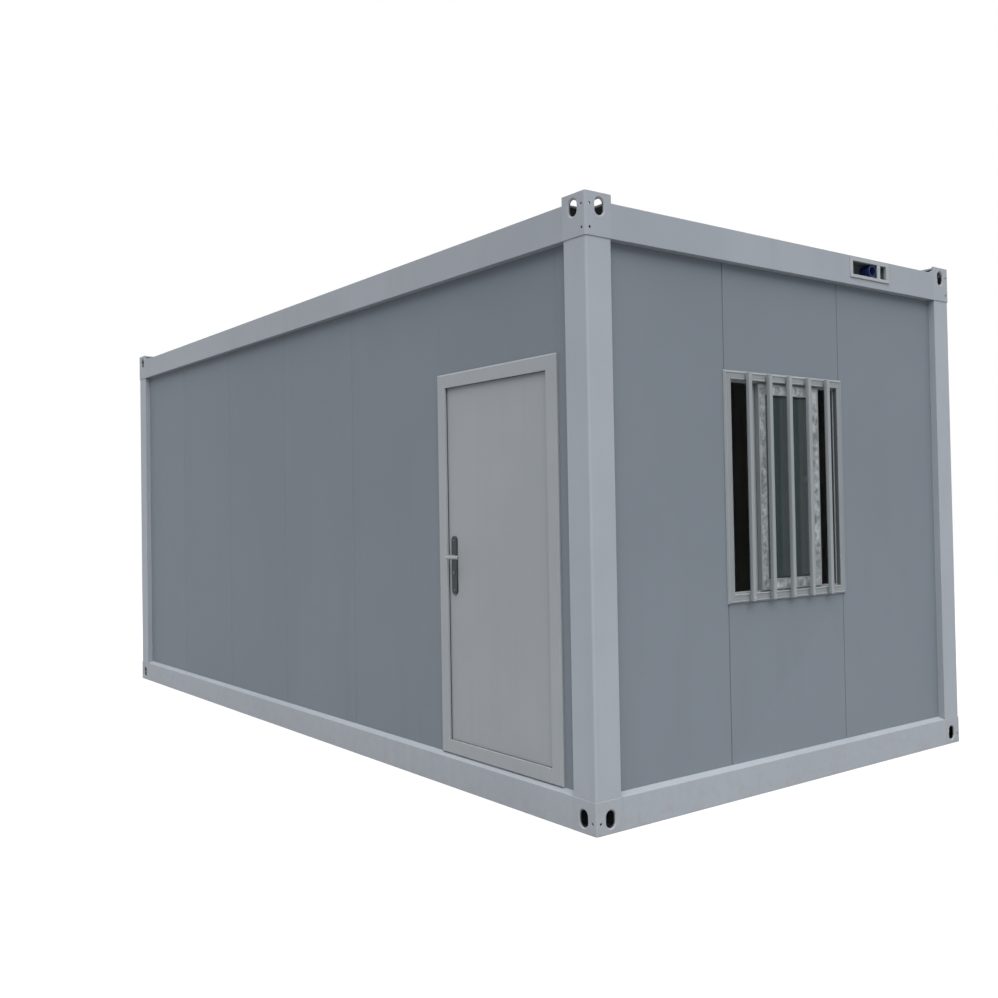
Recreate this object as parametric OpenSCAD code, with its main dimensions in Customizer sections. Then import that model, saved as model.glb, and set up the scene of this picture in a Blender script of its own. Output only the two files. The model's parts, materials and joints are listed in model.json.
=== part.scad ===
// Flat-pack container cabin: steel base and roof frames on four corner posts, closed with
// tongue-and-groove sandwich panels. +X runs along the cabin, -Y is the door side, and the
// origin lies at the middle of the footprint, on the ground.

/* [Overall] */
// Length over the corner castings
length = 6055; // [5000:5:7500]
// Width over the corner castings
width = 2990; // [2700:5:3600]
// Height to the top of the roof castings
height = 2896; // [2700:1:3200]

/* [Steel frame] */
// Height of the base frame at its outer edge
base_h = 152; // [130:1:200]
// Rise of the sloped ledge from the outer edge to the panels' seat
ledge_rise = 12; // [4:1:25]
// Height of the roof beams
roof_beam_h = 163; // [140:1:220]
// Steel thickness of beams, posts, joists and purlins
steel_t = 4; // [2:0.5:8]
// Inner flange that carries the floor or the ceiling, measured from the wall's inner face
bearing_w = 25; // [15:1:60]
// Width of the base beams' bottom flange
foot_w = 80; // [40:1:120]
// Width of the roof beams' top flange
top_flange_w = 125; // [80:1:160]
// Reach of a corner post's faces from the cabin's corner
post_w = 155; // [120:1:160]
// Set-back of a corner post's outer faces behind the castings
post_in = 3; // [0:0.5:6]
// Radius on the outer vertical edge of posts and castings
edge_r = 12; // [11:1:25]

/* [Corner castings] */
// Plan size of a corner casting
casting_w = 160; // [150:1:200]
// Wall thickness of a corner casting
casting_t = 10; // [8:0.5:12]
// Height of the roof castings above the roof beams
casting_rise = 40; // [30:1:80]
// Width of a lifting slot
slot_w = 50; // [30:1:60]
// Height of a lifting slot
slot_h = 76; // [62:1:80]
// Width and depth of the flare round a slot's mouth
slot_flare = 7; // [2:0.5:7]
// Distance of a slot's centre from the cabin's corner
slot_in = 88; // [70:1:105]
// Depth of a roof slot's centre below the top
roof_slot_down = 64; // [60:1:90]
// Height of a base slot's centre above the ground
base_slot_up = 65; // [60:1:80]
// Diameter of the bolt holes beside the corner edge
bolt_d = 13; // [8:0.5:18]
// Distance of the bolt holes from the cabin's corner
bolt_in = 27; // [25:1:35]
// Depths of the upper and lower roof bolt holes below the top
roof_bolt_down = [58, 166]; // [40:1:180]
// Height of a base bolt hole above the ground
base_bolt_up = 53; // [30:1:80]
// Diameter of the stacking hole in a roof casting's top
stack_d = 60; // [40:1:80]
// Distance of the stacking hole from both outer faces
stack_in = 60; // [55:1:80]
// Set-back of a roof casting's top plate from the casting's inner sides
top_cut = 30; // [12:1:40]

/* [Wall panels] */
// Thickness of a wall panel
panel_t = 60; // [40:5:100]
// Set-back of the panels behind the outer face of the frame
panel_recess = 42; // [30:1:60]
// Cover width of a full panel
panel_module = 950; // [800:10:1200]
// Width of the panel between the door frame and the first seam
door_panel_w = 977; // [400:1:1000]
// Bevel on the panels' edges at a seam
seam_bevel = 3; // [1:0.5:6]
// Gap between neighbouring panels at a tongued or a square seam
seam_gap = 0.6; // [0.4:0.1:3]
// Gap between the window bay's panels and their neighbours
bay_gap = 2.5; // [1:0.1:4]
// Depth of the tongue at a panel's edge
tongue_l = 14; // [8:1:25]
// Thickness of the tongue
tongue_t = 20; // [10:1:30]
// Play of the tongue in its groove
tongue_play = 1; // [0.5:0.1:2]

/* [Door] */
// Distance of the door frame from the front right corner
door_in = 255; // [220:1:600]
// Outer width of the door frame
door_frame_w = 1000; // [850:5:1200]
// Height of the door frame's top above the ground
door_frame_top = 2195; // [1950:5:2400]
// Face width of the door frame
door_face_w = 75; // [60:1:100]
// How far the door frame stands out from the panels
door_proud = 17; // [6:1:30]
// Thickness of the lip that the leaf closes behind
door_lip_t = 12; // [6:1:20]
// Depth of the rebate behind the lip
door_rebate = 17; // [12:1:30]
// Bevel on the outer edge of the door and window frames
frame_bevel = 7; // [2:0.5:10]
// Overlap of the door and window frames on the panels
frame_overlap = 12; // [8:1:20]
// Thickness of the door leaf
leaf_t = 45; // [35:1:55]
// Running gap round the leaf
leaf_gap = 5; // [5:0.5:8]
// Bevel on the leaf's edges
leaf_bevel = 2; // [0.5:0.5:4]

/* [Hinges] */
// Outer radius of a hinge knuckle
knuckle_r = 8; // [6:0.5:12]
// Radius of a hinge pin
pin_r = 5; // [3:0.5:5]
// Height of one knuckle
knuckle_h = 42; // [30:1:60]
// Width of a hinge plate
hinge_plate_w = 40; // [30:1:45]
// Thickness of a hinge plate
hinge_plate_t = 4; // [2.5:0.5:5]
// Distance of the outer hinges from the leaf's top and bottom
hinge_end = 220; // [150:5:350]
// Gap between a knuckle and the door frame's inner face
knuckle_gap = 1; // [0.5:0.5:3]
// Radial clearance of pins, and the gap between knuckles
hinge_play = 0.3; // [0.2:0.05:0.5]

/* [Door handle] */
// Height of the lever's axis above the ground
lever_up = 1216; // [950:1:1350]
// Distance of the lever's axis from the leaf's lock edge
backset = 66; // [60:1:110]
// Width of the handle's back plate
plate_w = 46; // [40:1:60]
// Height of the handle's back plate
plate_h = 310; // [220:1:340]
// Thickness of the handle's back plate
plate_t = 9; // [5:0.5:14]
// Height of the lever's axis above the middle of the plate
plate_off = 46; // [20:1:80]
// Radius of the lever's round bar
lever_r = 10; // [7:0.5:11]
// Reach of the lever out from the leaf
lever_reach = 76; // [60:1:85]
// Length of the lever from its axis
lever_l = 115; // [90:1:130]
// Radius of the lever's bend, along its middle line
bend_r = 14; // [13:0.5:20]
// Bevel on the lever's tip
tip_bevel = 3; // [1:0.5:5]
// Radius of the spindle through the leaf
spindle_r = 5; // [3:0.5:6]
// Radius of the lock cylinder's rose
lock_r = 11; // [8:0.5:14]
// Distance of the lock cylinder below the lever's axis
lock_down = 85; // [70:1:95]
// How far the lock cylinder's rose stands out from the plate
lock_proud = 2; // [1:0.5:4]

/* [Window] */
// Distance of the window bay from the front right corner
window_in = 957; // [400:1:1200]
// Height of the window frame's lower edge above the ground
window_up = 967; // [700:1:1200]
// Outer height of the window frame
window_frame_h = 1183; // [800:1:1300]
// Face width of the window frame
window_face_w = 46; // [35:1:70]
// How far the window frame stands out from the panels
window_proud = 12; // [6:1:25]
// Width of a sliding sash
sash_w = 500; // [450:1:600]
// Face width of a sash's stiles and rails
sash_face_w = 56; // [40:1:80]
// Thickness of a sash
sash_t = 24; // [18:1:28]
// Depth of the outer sash behind the window frame's face
sash_back = 14; // [6:1:16]
// Gap between the two sashes
sash_gap = 4; // [2:0.5:5]
// Distance of the outer sash from the opening's front edge
outer_sash_in = 231; // [15:1:360]
// Distance of the inner sash from the opening's front edge
inner_sash_in = 214; // [15:1:360]
// Height of the tracks that the sashes slide on
track_h = 8; // [4:1:12]
// Thickness of a track
track_t = 6; // [3:0.5:10]
// Thickness of a pane
pane_t = 6; // [4:1:14]

/* [Floor and roof] */
// Thickness of the floor board
floor_t = 20; // [12:1:30]
// Gap between the floor board and the walls
floor_gap = 2; // [1:0.5:5]
// Spacing of the floor joists
joist_pitch = 500; // [400:10:560]
// Height of a floor joist's underside above the ground
joist_up = 44; // [20:1:70]
// Width of joists and purlins
joist_w = 50; // [40:1:80]
// Thickness of the ceiling board
ceiling_t = 12; // [8:1:25]
// Spacing of the roof purlins
purlin_pitch = 560; // [450:10:560]
// Depth of the roof sheet's eaves below the top of the roof beams
eave_down = 40; // [35:1:60]
// Rise of the roof sheet from the eaves to the middle
roof_rise = 20; // [10:1:40]
// Thickness of the roof sheet
sheet_t = 2; // [1:0.5:4]
// Height of the standing seams on the roof sheet
rib_h = 18; // [10:1:25]
// Thickness of a standing seam
rib_t = 6; // [4:1:12]
// Depth to which the sheet is tucked under the beams' flanges
sheet_tuck = 20; // [10:1:40]

/* [Power inlet] */
// Distance of the inlet's centre from the front right corner
inlet_in = 2168; // [500:1:2400]
// Height of the inlet's centre above the middle of the roof beam
inlet_off = 17; // [0:1:20]
// Width of the inlet's opening
inlet_w = 320; // [200:1:360]
// Height of the inlet's opening
inlet_h = 78; // [70:1:90]
// Depth of the inlet's pocket
inlet_d = 76; // [70:1:100]
// Wall thickness of the pocket
inlet_t = 2.5; // [1.5:0.5:4]
// Width of the bezel beside and above the opening
bezel_w = [26, 17]; // [8:1:30]
// Thickness of the bezel
bezel_t = 3; // [1.5:0.5:6]
// How far the lip below the opening stands out beyond the bezel
lip_proud = 3; // [1:0.5:6]
// Place of the bar across the opening, from the inlet's centre
inlet_bar_s = 87; // [80:1:110]
// Width of the bar across the opening
inlet_bar_w = 28; // [15:1:30]
// Outer radius of the socket
socket_r = 34; // [20:1:35]
// Length of the socket
socket_l = 64; // [30:1:66]
// Place of the socket along the pocket, from the inlet's centre
socket_s = 36; // [-60:1:36]
// Wall of the socket's collar
socket_t = 5; // [3:0.5:8]
// Width of the raised seat behind the socket
socket_seat_w = 76; // [66:1:90]
// Thickness of the raised seat
socket_seat_t = 8; // [4:1:12]

/* [Hidden] */
$fn = 48;

frame_grey = [0.58, 0.61, 0.64];
panel_grey = [0.43, 0.46, 0.50];
leaf_grey = [0.55, 0.57, 0.58];
dark_grey = [0.20, 0.22, 0.24];
satin = [0.70, 0.71, 0.72];
white_pvc = [0.78, 0.79, 0.79];
glass_grey = [0.35, 0.42, 0.46, 0.5];
zinc = [0.66, 0.68, 0.69];
timber = [0.62, 0.52, 0.40];
socket_blue = [0.18, 0.25, 0.45];

// Sides of the cabin, as seen when facing the door
left = -1;
right = 1;
front = -1;
back = 1;

// Fitting gap round frames, hairline gap at mitres and under the roof, and spare length of cuts
fit_gap = 0.5;
hairline = 0.4;
cut = 1;

// Levels
seat_z = base_h + ledge_rise;
roof_top_z = height - casting_rise;
roof_low_z = roof_top_z - roof_beam_h;
ceiling_z = roof_low_z + steel_t;
eave_z = roof_top_z - eave_down;
ridge_z = eave_z + roof_rise;

// Depths behind the outer face of the frame
wall_in = panel_recess + panel_t;
flange_w = wall_in + bearing_w;
door_face_d = panel_recess - door_proud;
leaf_d = door_face_d + door_lip_t + leaf_gap;
leaf_back_d = leaf_d + leaf_t;
hinge_d = wall_in + knuckle_r + knuckle_gap;
window_face_d = panel_recess - window_proud;

// Doorway and leaf, measured from the front right corner
door_body = frame_overlap + fit_gap;
door_frame_h = door_frame_top - seat_z;
door_left = door_in + door_frame_w;
stop_w = door_face_w - door_rebate;
leaf_right = door_in + stop_w + leaf_gap;
leaf_left = door_left - stop_w - leaf_gap;
leaf_low = seat_z + stop_w + leaf_gap;
leaf_top = door_frame_top - stop_w - leaf_gap;
hinge_s = door_in + stop_w + leaf_gap / 2;
hinge_zs = [leaf_low + hinge_end, (leaf_low + leaf_top) / 2, leaf_top - hinge_end];
lever_s = leaf_left - backset;

// Panel seams, measured from the right-hand or the front corner
door_bay_end = door_left - frame_overlap;
door_bay_start = door_in + frame_overlap;
long_end = length - post_w;
short_end = width - post_w;
min_panel = 200;
long_seams = [
    for (s = door_bay_end + door_panel_w; s < long_end - min_panel; s = s + panel_module) s
];

// Window bay and sashes
window_frame_w = panel_module + 2 * frame_overlap;
window_s = window_in + panel_module / 2;
window_top = window_up + window_frame_h;
window_open_w = window_frame_w - 2 * window_face_w;
window_open_h = window_frame_h - 2 * window_face_w;
outer_sash_d = window_face_d + sash_back;
inner_sash_d = outer_sash_d + sash_t + sash_gap;

// Inlet
inlet_z = (roof_low_z + roof_top_z) / 2 + inlet_off;

// Places a child in a corner's own frame: x and y run into the cabin
module on_corner(side, face) {
    translate([side * length / 2, face * width / 2, 0])
        mirror([side > 0 ? 1 : 0, 0, 0])
            mirror([0, face > 0 ? 1 : 0, 0])
                children();
}

// Places a child in a wall's own frame: x runs along the wall from its right-hand or front
// corner, y runs inwards from the outer face of the frame
module on_front() {
    translate([length / 2, -width / 2, 0]) mirror([1, 0, 0]) children();
}

module on_back() {
    translate([length / 2, width / 2, 0]) rotate(180) children();
}

module on_right() {
    translate([length / 2, -width / 2, 0]) rotate(90) children();
}

module on_left() {
    translate([-length / 2, -width / 2, 0]) rotate(90) mirror([0, 1, 0]) children();
}

// Bar of a section, given as points of depth and height, along a wall
module wall_bar(section, wall_l) {
    translate([casting_w, 0, 0])
        rotate([90, 0, 90])
            linear_extrude(wall_l - 2 * casting_w)
                polygon(section);
}

// Removes the sharp outer edge of a profile that starts at the corner
module round_edge(r) {
    difference() {
        children();
        difference() {
            translate([-cut, -cut]) square(r + cut);
            translate([r, r]) circle(r);
        }
    }
}

// Upright slot with round ends, along y
module slot(w, h, depth) {
    rotate([-90, 0, 0]) linear_extrude(depth) {
        square([w, h - w], center = true);
        for (end = [-1, 1]) translate([0, end * (h - w) / 2]) circle(d = w);
    }
}

// Flare of a slot's mouth, from the outer face inwards along y
module slot_mouth(w, h, flare) {
    narrow = w / 2 - cut;
    wide = w / 2 + flare + cut;
    deep = flare + cut;
    linear_extrude(h - w, center = true)
        polygon([[-narrow, deep], [narrow, deep], [wide, -cut], [-wide, -cut]]);
    for (turn = [0, 1]) mirror([0, 0, turn])
        translate([0, 0, (h - w) / 2]) rotate([90, 0, 0]) rotate_extrude(angle = 180)
            polygon([[0, -deep], [narrow, -deep], [wide, cut], [0, cut]]);
}

// Hollow casting with the slots and bolt holes of its two outer faces
module casting(low, high, slot_z, bolt_zs) {
    difference() {
        translate([0, 0, low]) linear_extrude(high - low)
            round_edge(edge_r) square(casting_w);
        translate([casting_t, casting_t, low + casting_t])
            cube([casting_w - 2 * casting_t, casting_w - 2 * casting_t, high - low - 2 * casting_t]);
        for (turn = [0, 1]) mirror([turn, -turn, 0]) {
            translate([slot_in, -cut, slot_z]) slot(slot_w, slot_h, casting_t + 2 * cut);
            translate([slot_in, 0, slot_z]) slot_mouth(slot_w, slot_h, slot_flare);
            for (z = bolt_zs)
                translate([bolt_in, -cut, z])
                    rotate([-90, 0, 0]) cylinder(d = bolt_d, h = casting_t + 2 * cut);
        }
    }
}

module base_corner(side, face) {
    color(frame_grey) on_corner(side, face) casting(0, base_h, base_slot_up, [base_bolt_up]);
}

// Roof casting: open above the beams at its two inner sides, where its top plate is cut back, with
// a stacking hole in the plate
module roof_corner(side, face) {
    gap_low = roof_top_z + casting_t;
    color(frame_grey) on_corner(side, face) difference() {
        casting(roof_low_z, height, height - roof_slot_down, [for (d = roof_bolt_down) height - d]);
        translate([stack_in, stack_in, height - casting_t - cut])
            cylinder(d = stack_d, h = casting_t + 2 * cut);
        for (turn = [0, 1]) mirror([turn, -turn, 0])
            translate([casting_t, casting_w - top_cut, gap_low])
                cube([casting_w - casting_t + cut, top_cut + cut, height - gap_low + cut]);
    }
}

// Roll-formed post: two outer faces, returns as deep as the walls and a diagonal inner face
module corner_post(side, face) {
    face_w = post_w - post_in;
    return_w = wall_in - post_in;
    hollow_w = face_w - 2 * steel_t;
    hollow_return = return_w - steel_t * sqrt(2);
    color(frame_grey) on_corner(side, face)
        translate([post_in, post_in, base_h]) linear_extrude(roof_low_z - base_h) difference() {
            round_edge(edge_r)
                polygon([[0, 0], [face_w, 0], [face_w, return_w], [return_w, face_w], [0, face_w]]);
            translate([steel_t, steel_t]) round_edge(edge_r - steel_t)
                polygon([
                    [0, 0], [hollow_w, 0], [hollow_w, hollow_return], [hollow_return, hollow_w],
                    [0, hollow_w]
                ]);
        }
}

// Base beam: a channel whose top carries the panels and the floor's edge
module base_beam(wall_l) {
    t = steel_t;
    wall_bar([
        [0, 0], [foot_w, 0], [foot_w, t], [t, t], [t, base_h - t], [panel_recess, seat_z - t],
        [flange_w, seat_z - t], [flange_w, seat_z], [panel_recess, seat_z], [0, base_h]
    ], wall_l);
}

module base_beam_front() { color(frame_grey) on_front() base_beam(length); }
module base_beam_back() { color(frame_grey) on_back() base_beam(length); }
module base_beam_left() { color(frame_grey) on_left() base_beam(width); }
module base_beam_right() { color(frame_grey) on_right() base_beam(width); }

// Roof beam: a channel that holds the panels' heads, the ceiling and the roof sheet
module roof_beam(wall_l) {
    t = steel_t;
    wall_bar([
        [0, roof_low_z], [flange_w, roof_low_z], [flange_w, roof_low_z + t], [t, roof_low_z + t],
        [t, roof_top_z - t], [top_flange_w, roof_top_z - t], [top_flange_w, roof_top_z],
        [0, roof_top_z]
    ], wall_l);
}

module roof_beam_front() { color(frame_grey) on_front() roof_beam(length); }
module roof_beam_back() { color(frame_grey) on_back() roof_beam(length); }
module roof_beam_left() { color(frame_grey) on_left() roof_beam(width); }

module roof_beam_right() {
    hole_w = inlet_w + 2 * (inlet_t + fit_gap);
    hole_h = inlet_h + 2 * (inlet_t + fit_gap);
    color(frame_grey) on_right() difference() {
        roof_beam(width);
        translate([inlet_in - hole_w / 2, -cut, inlet_z - hole_h / 2])
            cube([hole_w, steel_t + 2 * cut, hole_h]);
    }
}

// A panel's share of the gap at an edge of the given kind
function edge_gap(kind) = kind == "plain" ? 0 : kind == "bevel" ? bay_gap / 2 : seam_gap / 2;

// Sandwich panel: its start is plain, square at a seam, bevelled or grooved, its end plain,
// square, bevelled or tongued
module panel(from, to, low, high, start = "plain", end = "plain") {
    a = from + edge_gap(start);
    b = to - edge_gap(end);
    bevel_a = start == "plain" || start == "square" ? 0 : seam_bevel;
    bevel_b = end == "plain" || end == "square" ? 0 : seam_bevel;
    groove_t = tongue_t + 2 * tongue_play;
    translate([0, panel_recess, low]) linear_extrude(high - low) {
        difference() {
            polygon([
                [a, bevel_a], [a + bevel_a, 0], [b - bevel_b, 0], [b, bevel_b],
                [b, panel_t - bevel_b], [b - bevel_b, panel_t],
                [a + bevel_a, panel_t], [a, panel_t - bevel_a]
            ]);
            if (start == "groove")
                translate([a - cut, (panel_t - groove_t) / 2])
                    square([tongue_l + tongue_play + cut, groove_t]);
        }
        if (end == "tongue")
            translate([b - cut, (panel_t - tongue_t) / 2]) square([tongue_l + cut, tongue_t]);
    }
}

// Row of panels: edges holds the ends and every seam between them
module panel_row(edges, start = "plain") {
    last = len(edges) - 2;
    for (i = [0 : last])
        panel(edges[i], edges[i + 1], seat_z, roof_low_z,
            i > 0 ? "groove" : start, i < last ? "tongue" : "plain");
}

module front_wall() {
    color(panel_grey) on_front()
        panel_row(concat([door_bay_end], long_seams, [long_end]), "square");
}

module door_side_panel() {
    color(panel_grey) on_front()
        panel(post_w, door_bay_start, seat_z, roof_low_z, end = "square");
}

module door_head_panel() {
    color(panel_grey) on_front()
        panel(door_bay_start, door_bay_end, door_frame_top - frame_overlap, roof_low_z,
            "square", "square");
}

module back_wall() {
    count = round((long_end - post_w) / panel_module);
    step = (long_end - post_w) / count;
    color(panel_grey) on_back() panel_row([for (i = [0 : count]) post_w + i * step]);
}

module left_wall() {
    color(panel_grey) on_left()
        panel_row([post_w, window_in, window_in + panel_module, short_end]);
}

module right_wall_front() {
    color(panel_grey) on_right() panel(post_w, window_in, seat_z, roof_low_z, end = "bevel");
}

module right_wall_back() {
    color(panel_grey) on_right()
        panel(window_in + panel_module, short_end, seat_z, roof_low_z, "bevel");
}

module window_sill_panel() {
    color(panel_grey) on_right()
        panel(window_in, window_in + panel_module, seat_z, window_up + frame_overlap,
            "bevel", "bevel");
}

module window_head_panel() {
    color(panel_grey) on_right()
        panel(window_in, window_in + panel_module, window_top - frame_overlap, roof_low_z,
            "bevel", "bevel");
}

// Channel across the cabin, cut from an outline of points in y and z
module cross_channel(outline, inner) {
    rotate([90, 0, 90]) difference() {
        translate([0, 0, -joist_w / 2]) linear_extrude(joist_w) polygon(outline);
        translate([0, 0, -joist_w / 2 + steel_t]) linear_extrude(joist_w) polygon(inner);
    }
}

// Joist outline, coped at both ends to run under the base beams' flanges
function joist_outline(half, tip, low, cope, top) = [
    [-half, low], [half, low], [half, cope], [tip, cope], [tip, top],
    [-tip, top], [-tip, cope], [-half, cope]
];

module floor_joists() {
    t = steel_t;
    half = width / 2 - t;
    tip = width / 2 - flange_w;
    cope = base_h - t;
    count = floor((length - 2 * casting_w) / joist_pitch);
    color(zinc) for (i = [0 : count])
        translate([(i - count / 2) * joist_pitch, 0, 0])
            cross_channel(
                joist_outline(half, tip, joist_up, cope, seat_z),
                joist_outline(half + cut, tip - t, joist_up + t, cope - t, seat_z - t));
}

// Rectangle with its corners cut off at 45 degrees
function cut_corners(hx, hy, c) = [
    [hx, -hy + c], [hx, hy - c], [hx - c, hy], [-hx + c, hy],
    [-hx, hy - c], [-hx, -hy + c], [-hx + c, -hy], [hx - c, -hy]
];

module floor_board() {
    inset = wall_in + floor_gap;
    corner = post_w - wall_in + floor_gap;
    color(timber) translate([0, 0, seat_z]) linear_extrude(floor_t)
        polygon(cut_corners(length / 2 - inset, width / 2 - inset, corner));
}

// Blocks over the four corner castings, to be cut from the sheets between them
module casting_blocks(gap) {
    size = casting_w + gap;
    for (side = [left, right], face = [front, back])
        on_corner(side, face)
            translate([-cut, -cut, roof_low_z - cut])
                cube([size + cut, size + cut, height - roof_low_z + 2 * cut]);
}

module ceiling() {
    inset = steel_t + floor_gap;
    color(white_pvc) difference() {
        translate([-length / 2 + inset, -width / 2 + inset, ceiling_z])
            cube([length - 2 * inset, width - 2 * inset, ceiling_t]);
        casting_blocks(floor_gap);
    }
}

// Purlin outline under the two slopes of the roof sheet
function purlin_outline(half, low, drop) = [
    [-half, low], [half, low], [half, slope_z(half) - drop],
    [0, ridge_z - drop], [-half, slope_z(half) - drop]
];
eave_y = width / 2 - top_flange_w + sheet_tuck;
function slope_z(y) = ridge_z - roof_rise * y / eave_y;

module roof_purlins() {
    t = steel_t;
    half = width / 2 - t;
    low = ceiling_z + ceiling_t;
    count = floor((length - 2 * top_flange_w - 2 * joist_w) / purlin_pitch);
    color(zinc) for (i = [0 : count])
        translate([(i - count / 2) * purlin_pitch, 0, 0])
            cross_channel(
                purlin_outline(half, low, hairline),
                purlin_outline(half + cut, low + t, t + hairline));
}

// Sheet with a shallow ridge, drawn as a strip of the given thickness and length along x
module roof_strip(thick, strip_l) {
    rotate([90, 0, 90]) linear_extrude(strip_l, center = true)
        polygon([
            [-eave_y, eave_z], [0, ridge_z], [eave_y, eave_z],
            [eave_y, eave_z + thick], [0, ridge_z + thick], [-eave_y, eave_z + thick]
        ]);
}

module roof_sheet() {
    sheet_l = length - 2 * (top_flange_w - sheet_tuck);
    count = floor((sheet_l - panel_module / 2) / panel_module);
    color(zinc) difference() {
        union() {
            roof_strip(sheet_t, sheet_l);
            for (i = [0 : count])
                translate([(i - count / 2) * panel_module, 0, 0])
                    roof_strip(sheet_t + rib_h, rib_t);
        }
        casting_blocks(floor_gap);
    }
}

// Four mitred bars round an opening. The section's points are distance in from the outer edge
// and depth, x is centred on the frame and z starts at its lower edge
module mitred_frame(w, h, section, reach, depth) {
    upright = [[-w / 2, 0], [-w / 2 + reach, reach], [-w / 2 + reach, h - reach], [-w / 2, h]];
    rail = [
        [-w / 2 + hairline, 0], [w / 2 - hairline, 0],
        [w / 2 - reach - hairline, reach], [-w / 2 + reach + hairline, reach]
    ];
    for (turn = [0, 1]) {
        mirror([turn, 0, 0]) intersection() {
            translate([-w / 2, 0, 0]) linear_extrude(h) polygon(section);
            mitre_block(upright, depth);
        }
        translate([0, 0, turn * h]) mirror([0, 0, turn]) intersection() {
            rotate([90, 0, 90]) linear_extrude(w, center = true)
                polygon([for (p = section) [p[1], p[0]]]);
            mitre_block(rail, depth);
        }
    }
}

module mitre_block(outline, depth) {
    translate([0, depth + cut, 0]) rotate([90, 0, 0])
        linear_extrude(depth + 2 * cut) polygon(outline);
}

module door_frame() {
    depth = door_proud + panel_t;
    pad_w = door_frame_w - 2 * door_body;
    color(frame_grey) on_front() translate([door_in + door_frame_w / 2, door_face_d, seat_z]) {
        mitred_frame(door_frame_w, door_frame_h, [
            [0, frame_bevel], [frame_bevel, 0], [door_face_w, 0], [door_face_w, door_lip_t],
            [stop_w, door_lip_t], [stop_w, depth], [door_body, depth], [door_body, door_proud],
            [0, door_proud]
        ], door_face_w + cut, depth);
        translate([-pad_w / 2 + fit_gap, door_proud, 0]) cube([pad_w - 2 * fit_gap, panel_t, door_body]);
    }
}

// Leaf with bevelled edges, bored for the lever's spindle
module door_leaf() {
    b = leaf_bevel;
    color(leaf_grey) on_front() difference() {
        translate([0, leaf_d, leaf_low]) linear_extrude(leaf_top - leaf_low)
            polygon([
                [leaf_right, b], [leaf_right + b, 0], [leaf_left - b, 0], [leaf_left, b],
                [leaf_left, leaf_t - b], [leaf_left - b, leaf_t],
                [leaf_right + b, leaf_t], [leaf_right, leaf_t - b]
            ]);
        translate([lever_s, leaf_d - cut, lever_up])
            rotate([-90, 0, 0]) cylinder(r = lever_r + hinge_play, h = leaf_t + 2 * cut);
    }
}

// Frame half of a lift-off hinge: plate on the jamb, lower knuckle and pin
module hinge_frame_halves() {
    color(satin) on_front() for (z = hinge_zs) translate([hinge_s, 0, z - knuckle_h]) {
        translate([0, hinge_d, 0]) {
            cylinder(r = knuckle_r, h = knuckle_h);
            cylinder(r = pin_r, h = 2 * knuckle_h);
        }
        translate([-hinge_plate_w, wall_in, 0]) cube([hinge_plate_w, hinge_plate_t, knuckle_h]);
    }
}

// Leaf half of a lift-off hinge: plate on the leaf, arm and upper knuckle round the pin
module hinge_leaf_halves() {
    arm_t = knuckle_r - leaf_gap / 2 + hinge_plate_t;
    arm_s = hinge_s + leaf_gap / 2;
    high = knuckle_h - hinge_play;
    color(satin) on_front() for (z = hinge_zs) translate([0, 0, z + hinge_play]) difference() {
        union() {
            translate([hinge_s, hinge_d, 0]) cylinder(r = knuckle_r, h = high);
            translate([arm_s, leaf_back_d, 0]) cube([hinge_plate_w, hinge_plate_t, high]);
            translate([arm_s, leaf_back_d, 0]) cube([arm_t, hinge_d - leaf_back_d, high]);
        }
        translate([hinge_s, hinge_d, -cut]) cylinder(r = pin_r + hinge_play, h = high + 2 * cut);
    }
}

// Back plate with round ends, bored for the lever, with the lock's rose below it
module handle_plate() {
    rotate([-90, 0, 0]) difference() {
        union() {
            linear_extrude(plate_t) translate([0, plate_off]) {
                square([plate_w, plate_h - plate_w], center = true);
                for (end = [-1, 1]) translate([0, end * (plate_h - plate_w) / 2]) circle(d = plate_w);
            }
            translate([0, lock_down, -lock_proud]) cylinder(r = lock_r, h = plate_t);
        }
        translate([0, 0, -cut]) cylinder(r = lever_r + hinge_play, h = plate_t + 2 * cut);
    }
}

module door_handle_plates() {
    color(dark_grey) on_front() {
        translate([lever_s, leaf_d - plate_t, lever_up]) handle_plate();
        translate([lever_s, leaf_back_d + plate_t, lever_up]) mirror([0, 1, 0]) handle_plate();
    }
}

// One lever: a round bar that runs out of the plate and bends towards the hinges
module lever_arm(reach) {
    neck_l = reach - lever_r - bend_r;
    grip_l = lever_l - bend_r - tip_bevel;
    translate([0, cut, 0]) rotate([90, 0, 0]) cylinder(r = lever_r, h = neck_l + cut);
    translate([-bend_r, -neck_l, 0]) {
        rotate(-90) rotate_extrude(angle = 90) translate([bend_r, 0]) circle(lever_r);
        translate([0, -bend_r, 0]) rotate([0, -90, 0]) {
            cylinder(r = lever_r, h = grip_l);
            translate([0, 0, grip_l])
                cylinder(r1 = lever_r, r2 = lever_r - tip_bevel, h = tip_bevel);
        }
    }
}

module door_lever() {
    color(satin) on_front() translate([lever_s, 0, lever_up]) {
        translate([0, leaf_d, 0]) {
            lever_arm(lever_reach);
            rotate([-90, 0, 0]) cylinder(r = spindle_r, h = leaf_t);
        }
        translate([0, leaf_back_d, 0]) mirror([0, 1, 0]) lever_arm(lever_reach);
    }
}

// Points of a track on the window frame's inner side, at the given depth
function track(d) = [
    [window_face_w, d - track_t / 2], [window_face_w + track_h, d - track_t / 2],
    [window_face_w + track_h, d + track_t / 2], [window_face_w, d + track_t / 2]
];

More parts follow.
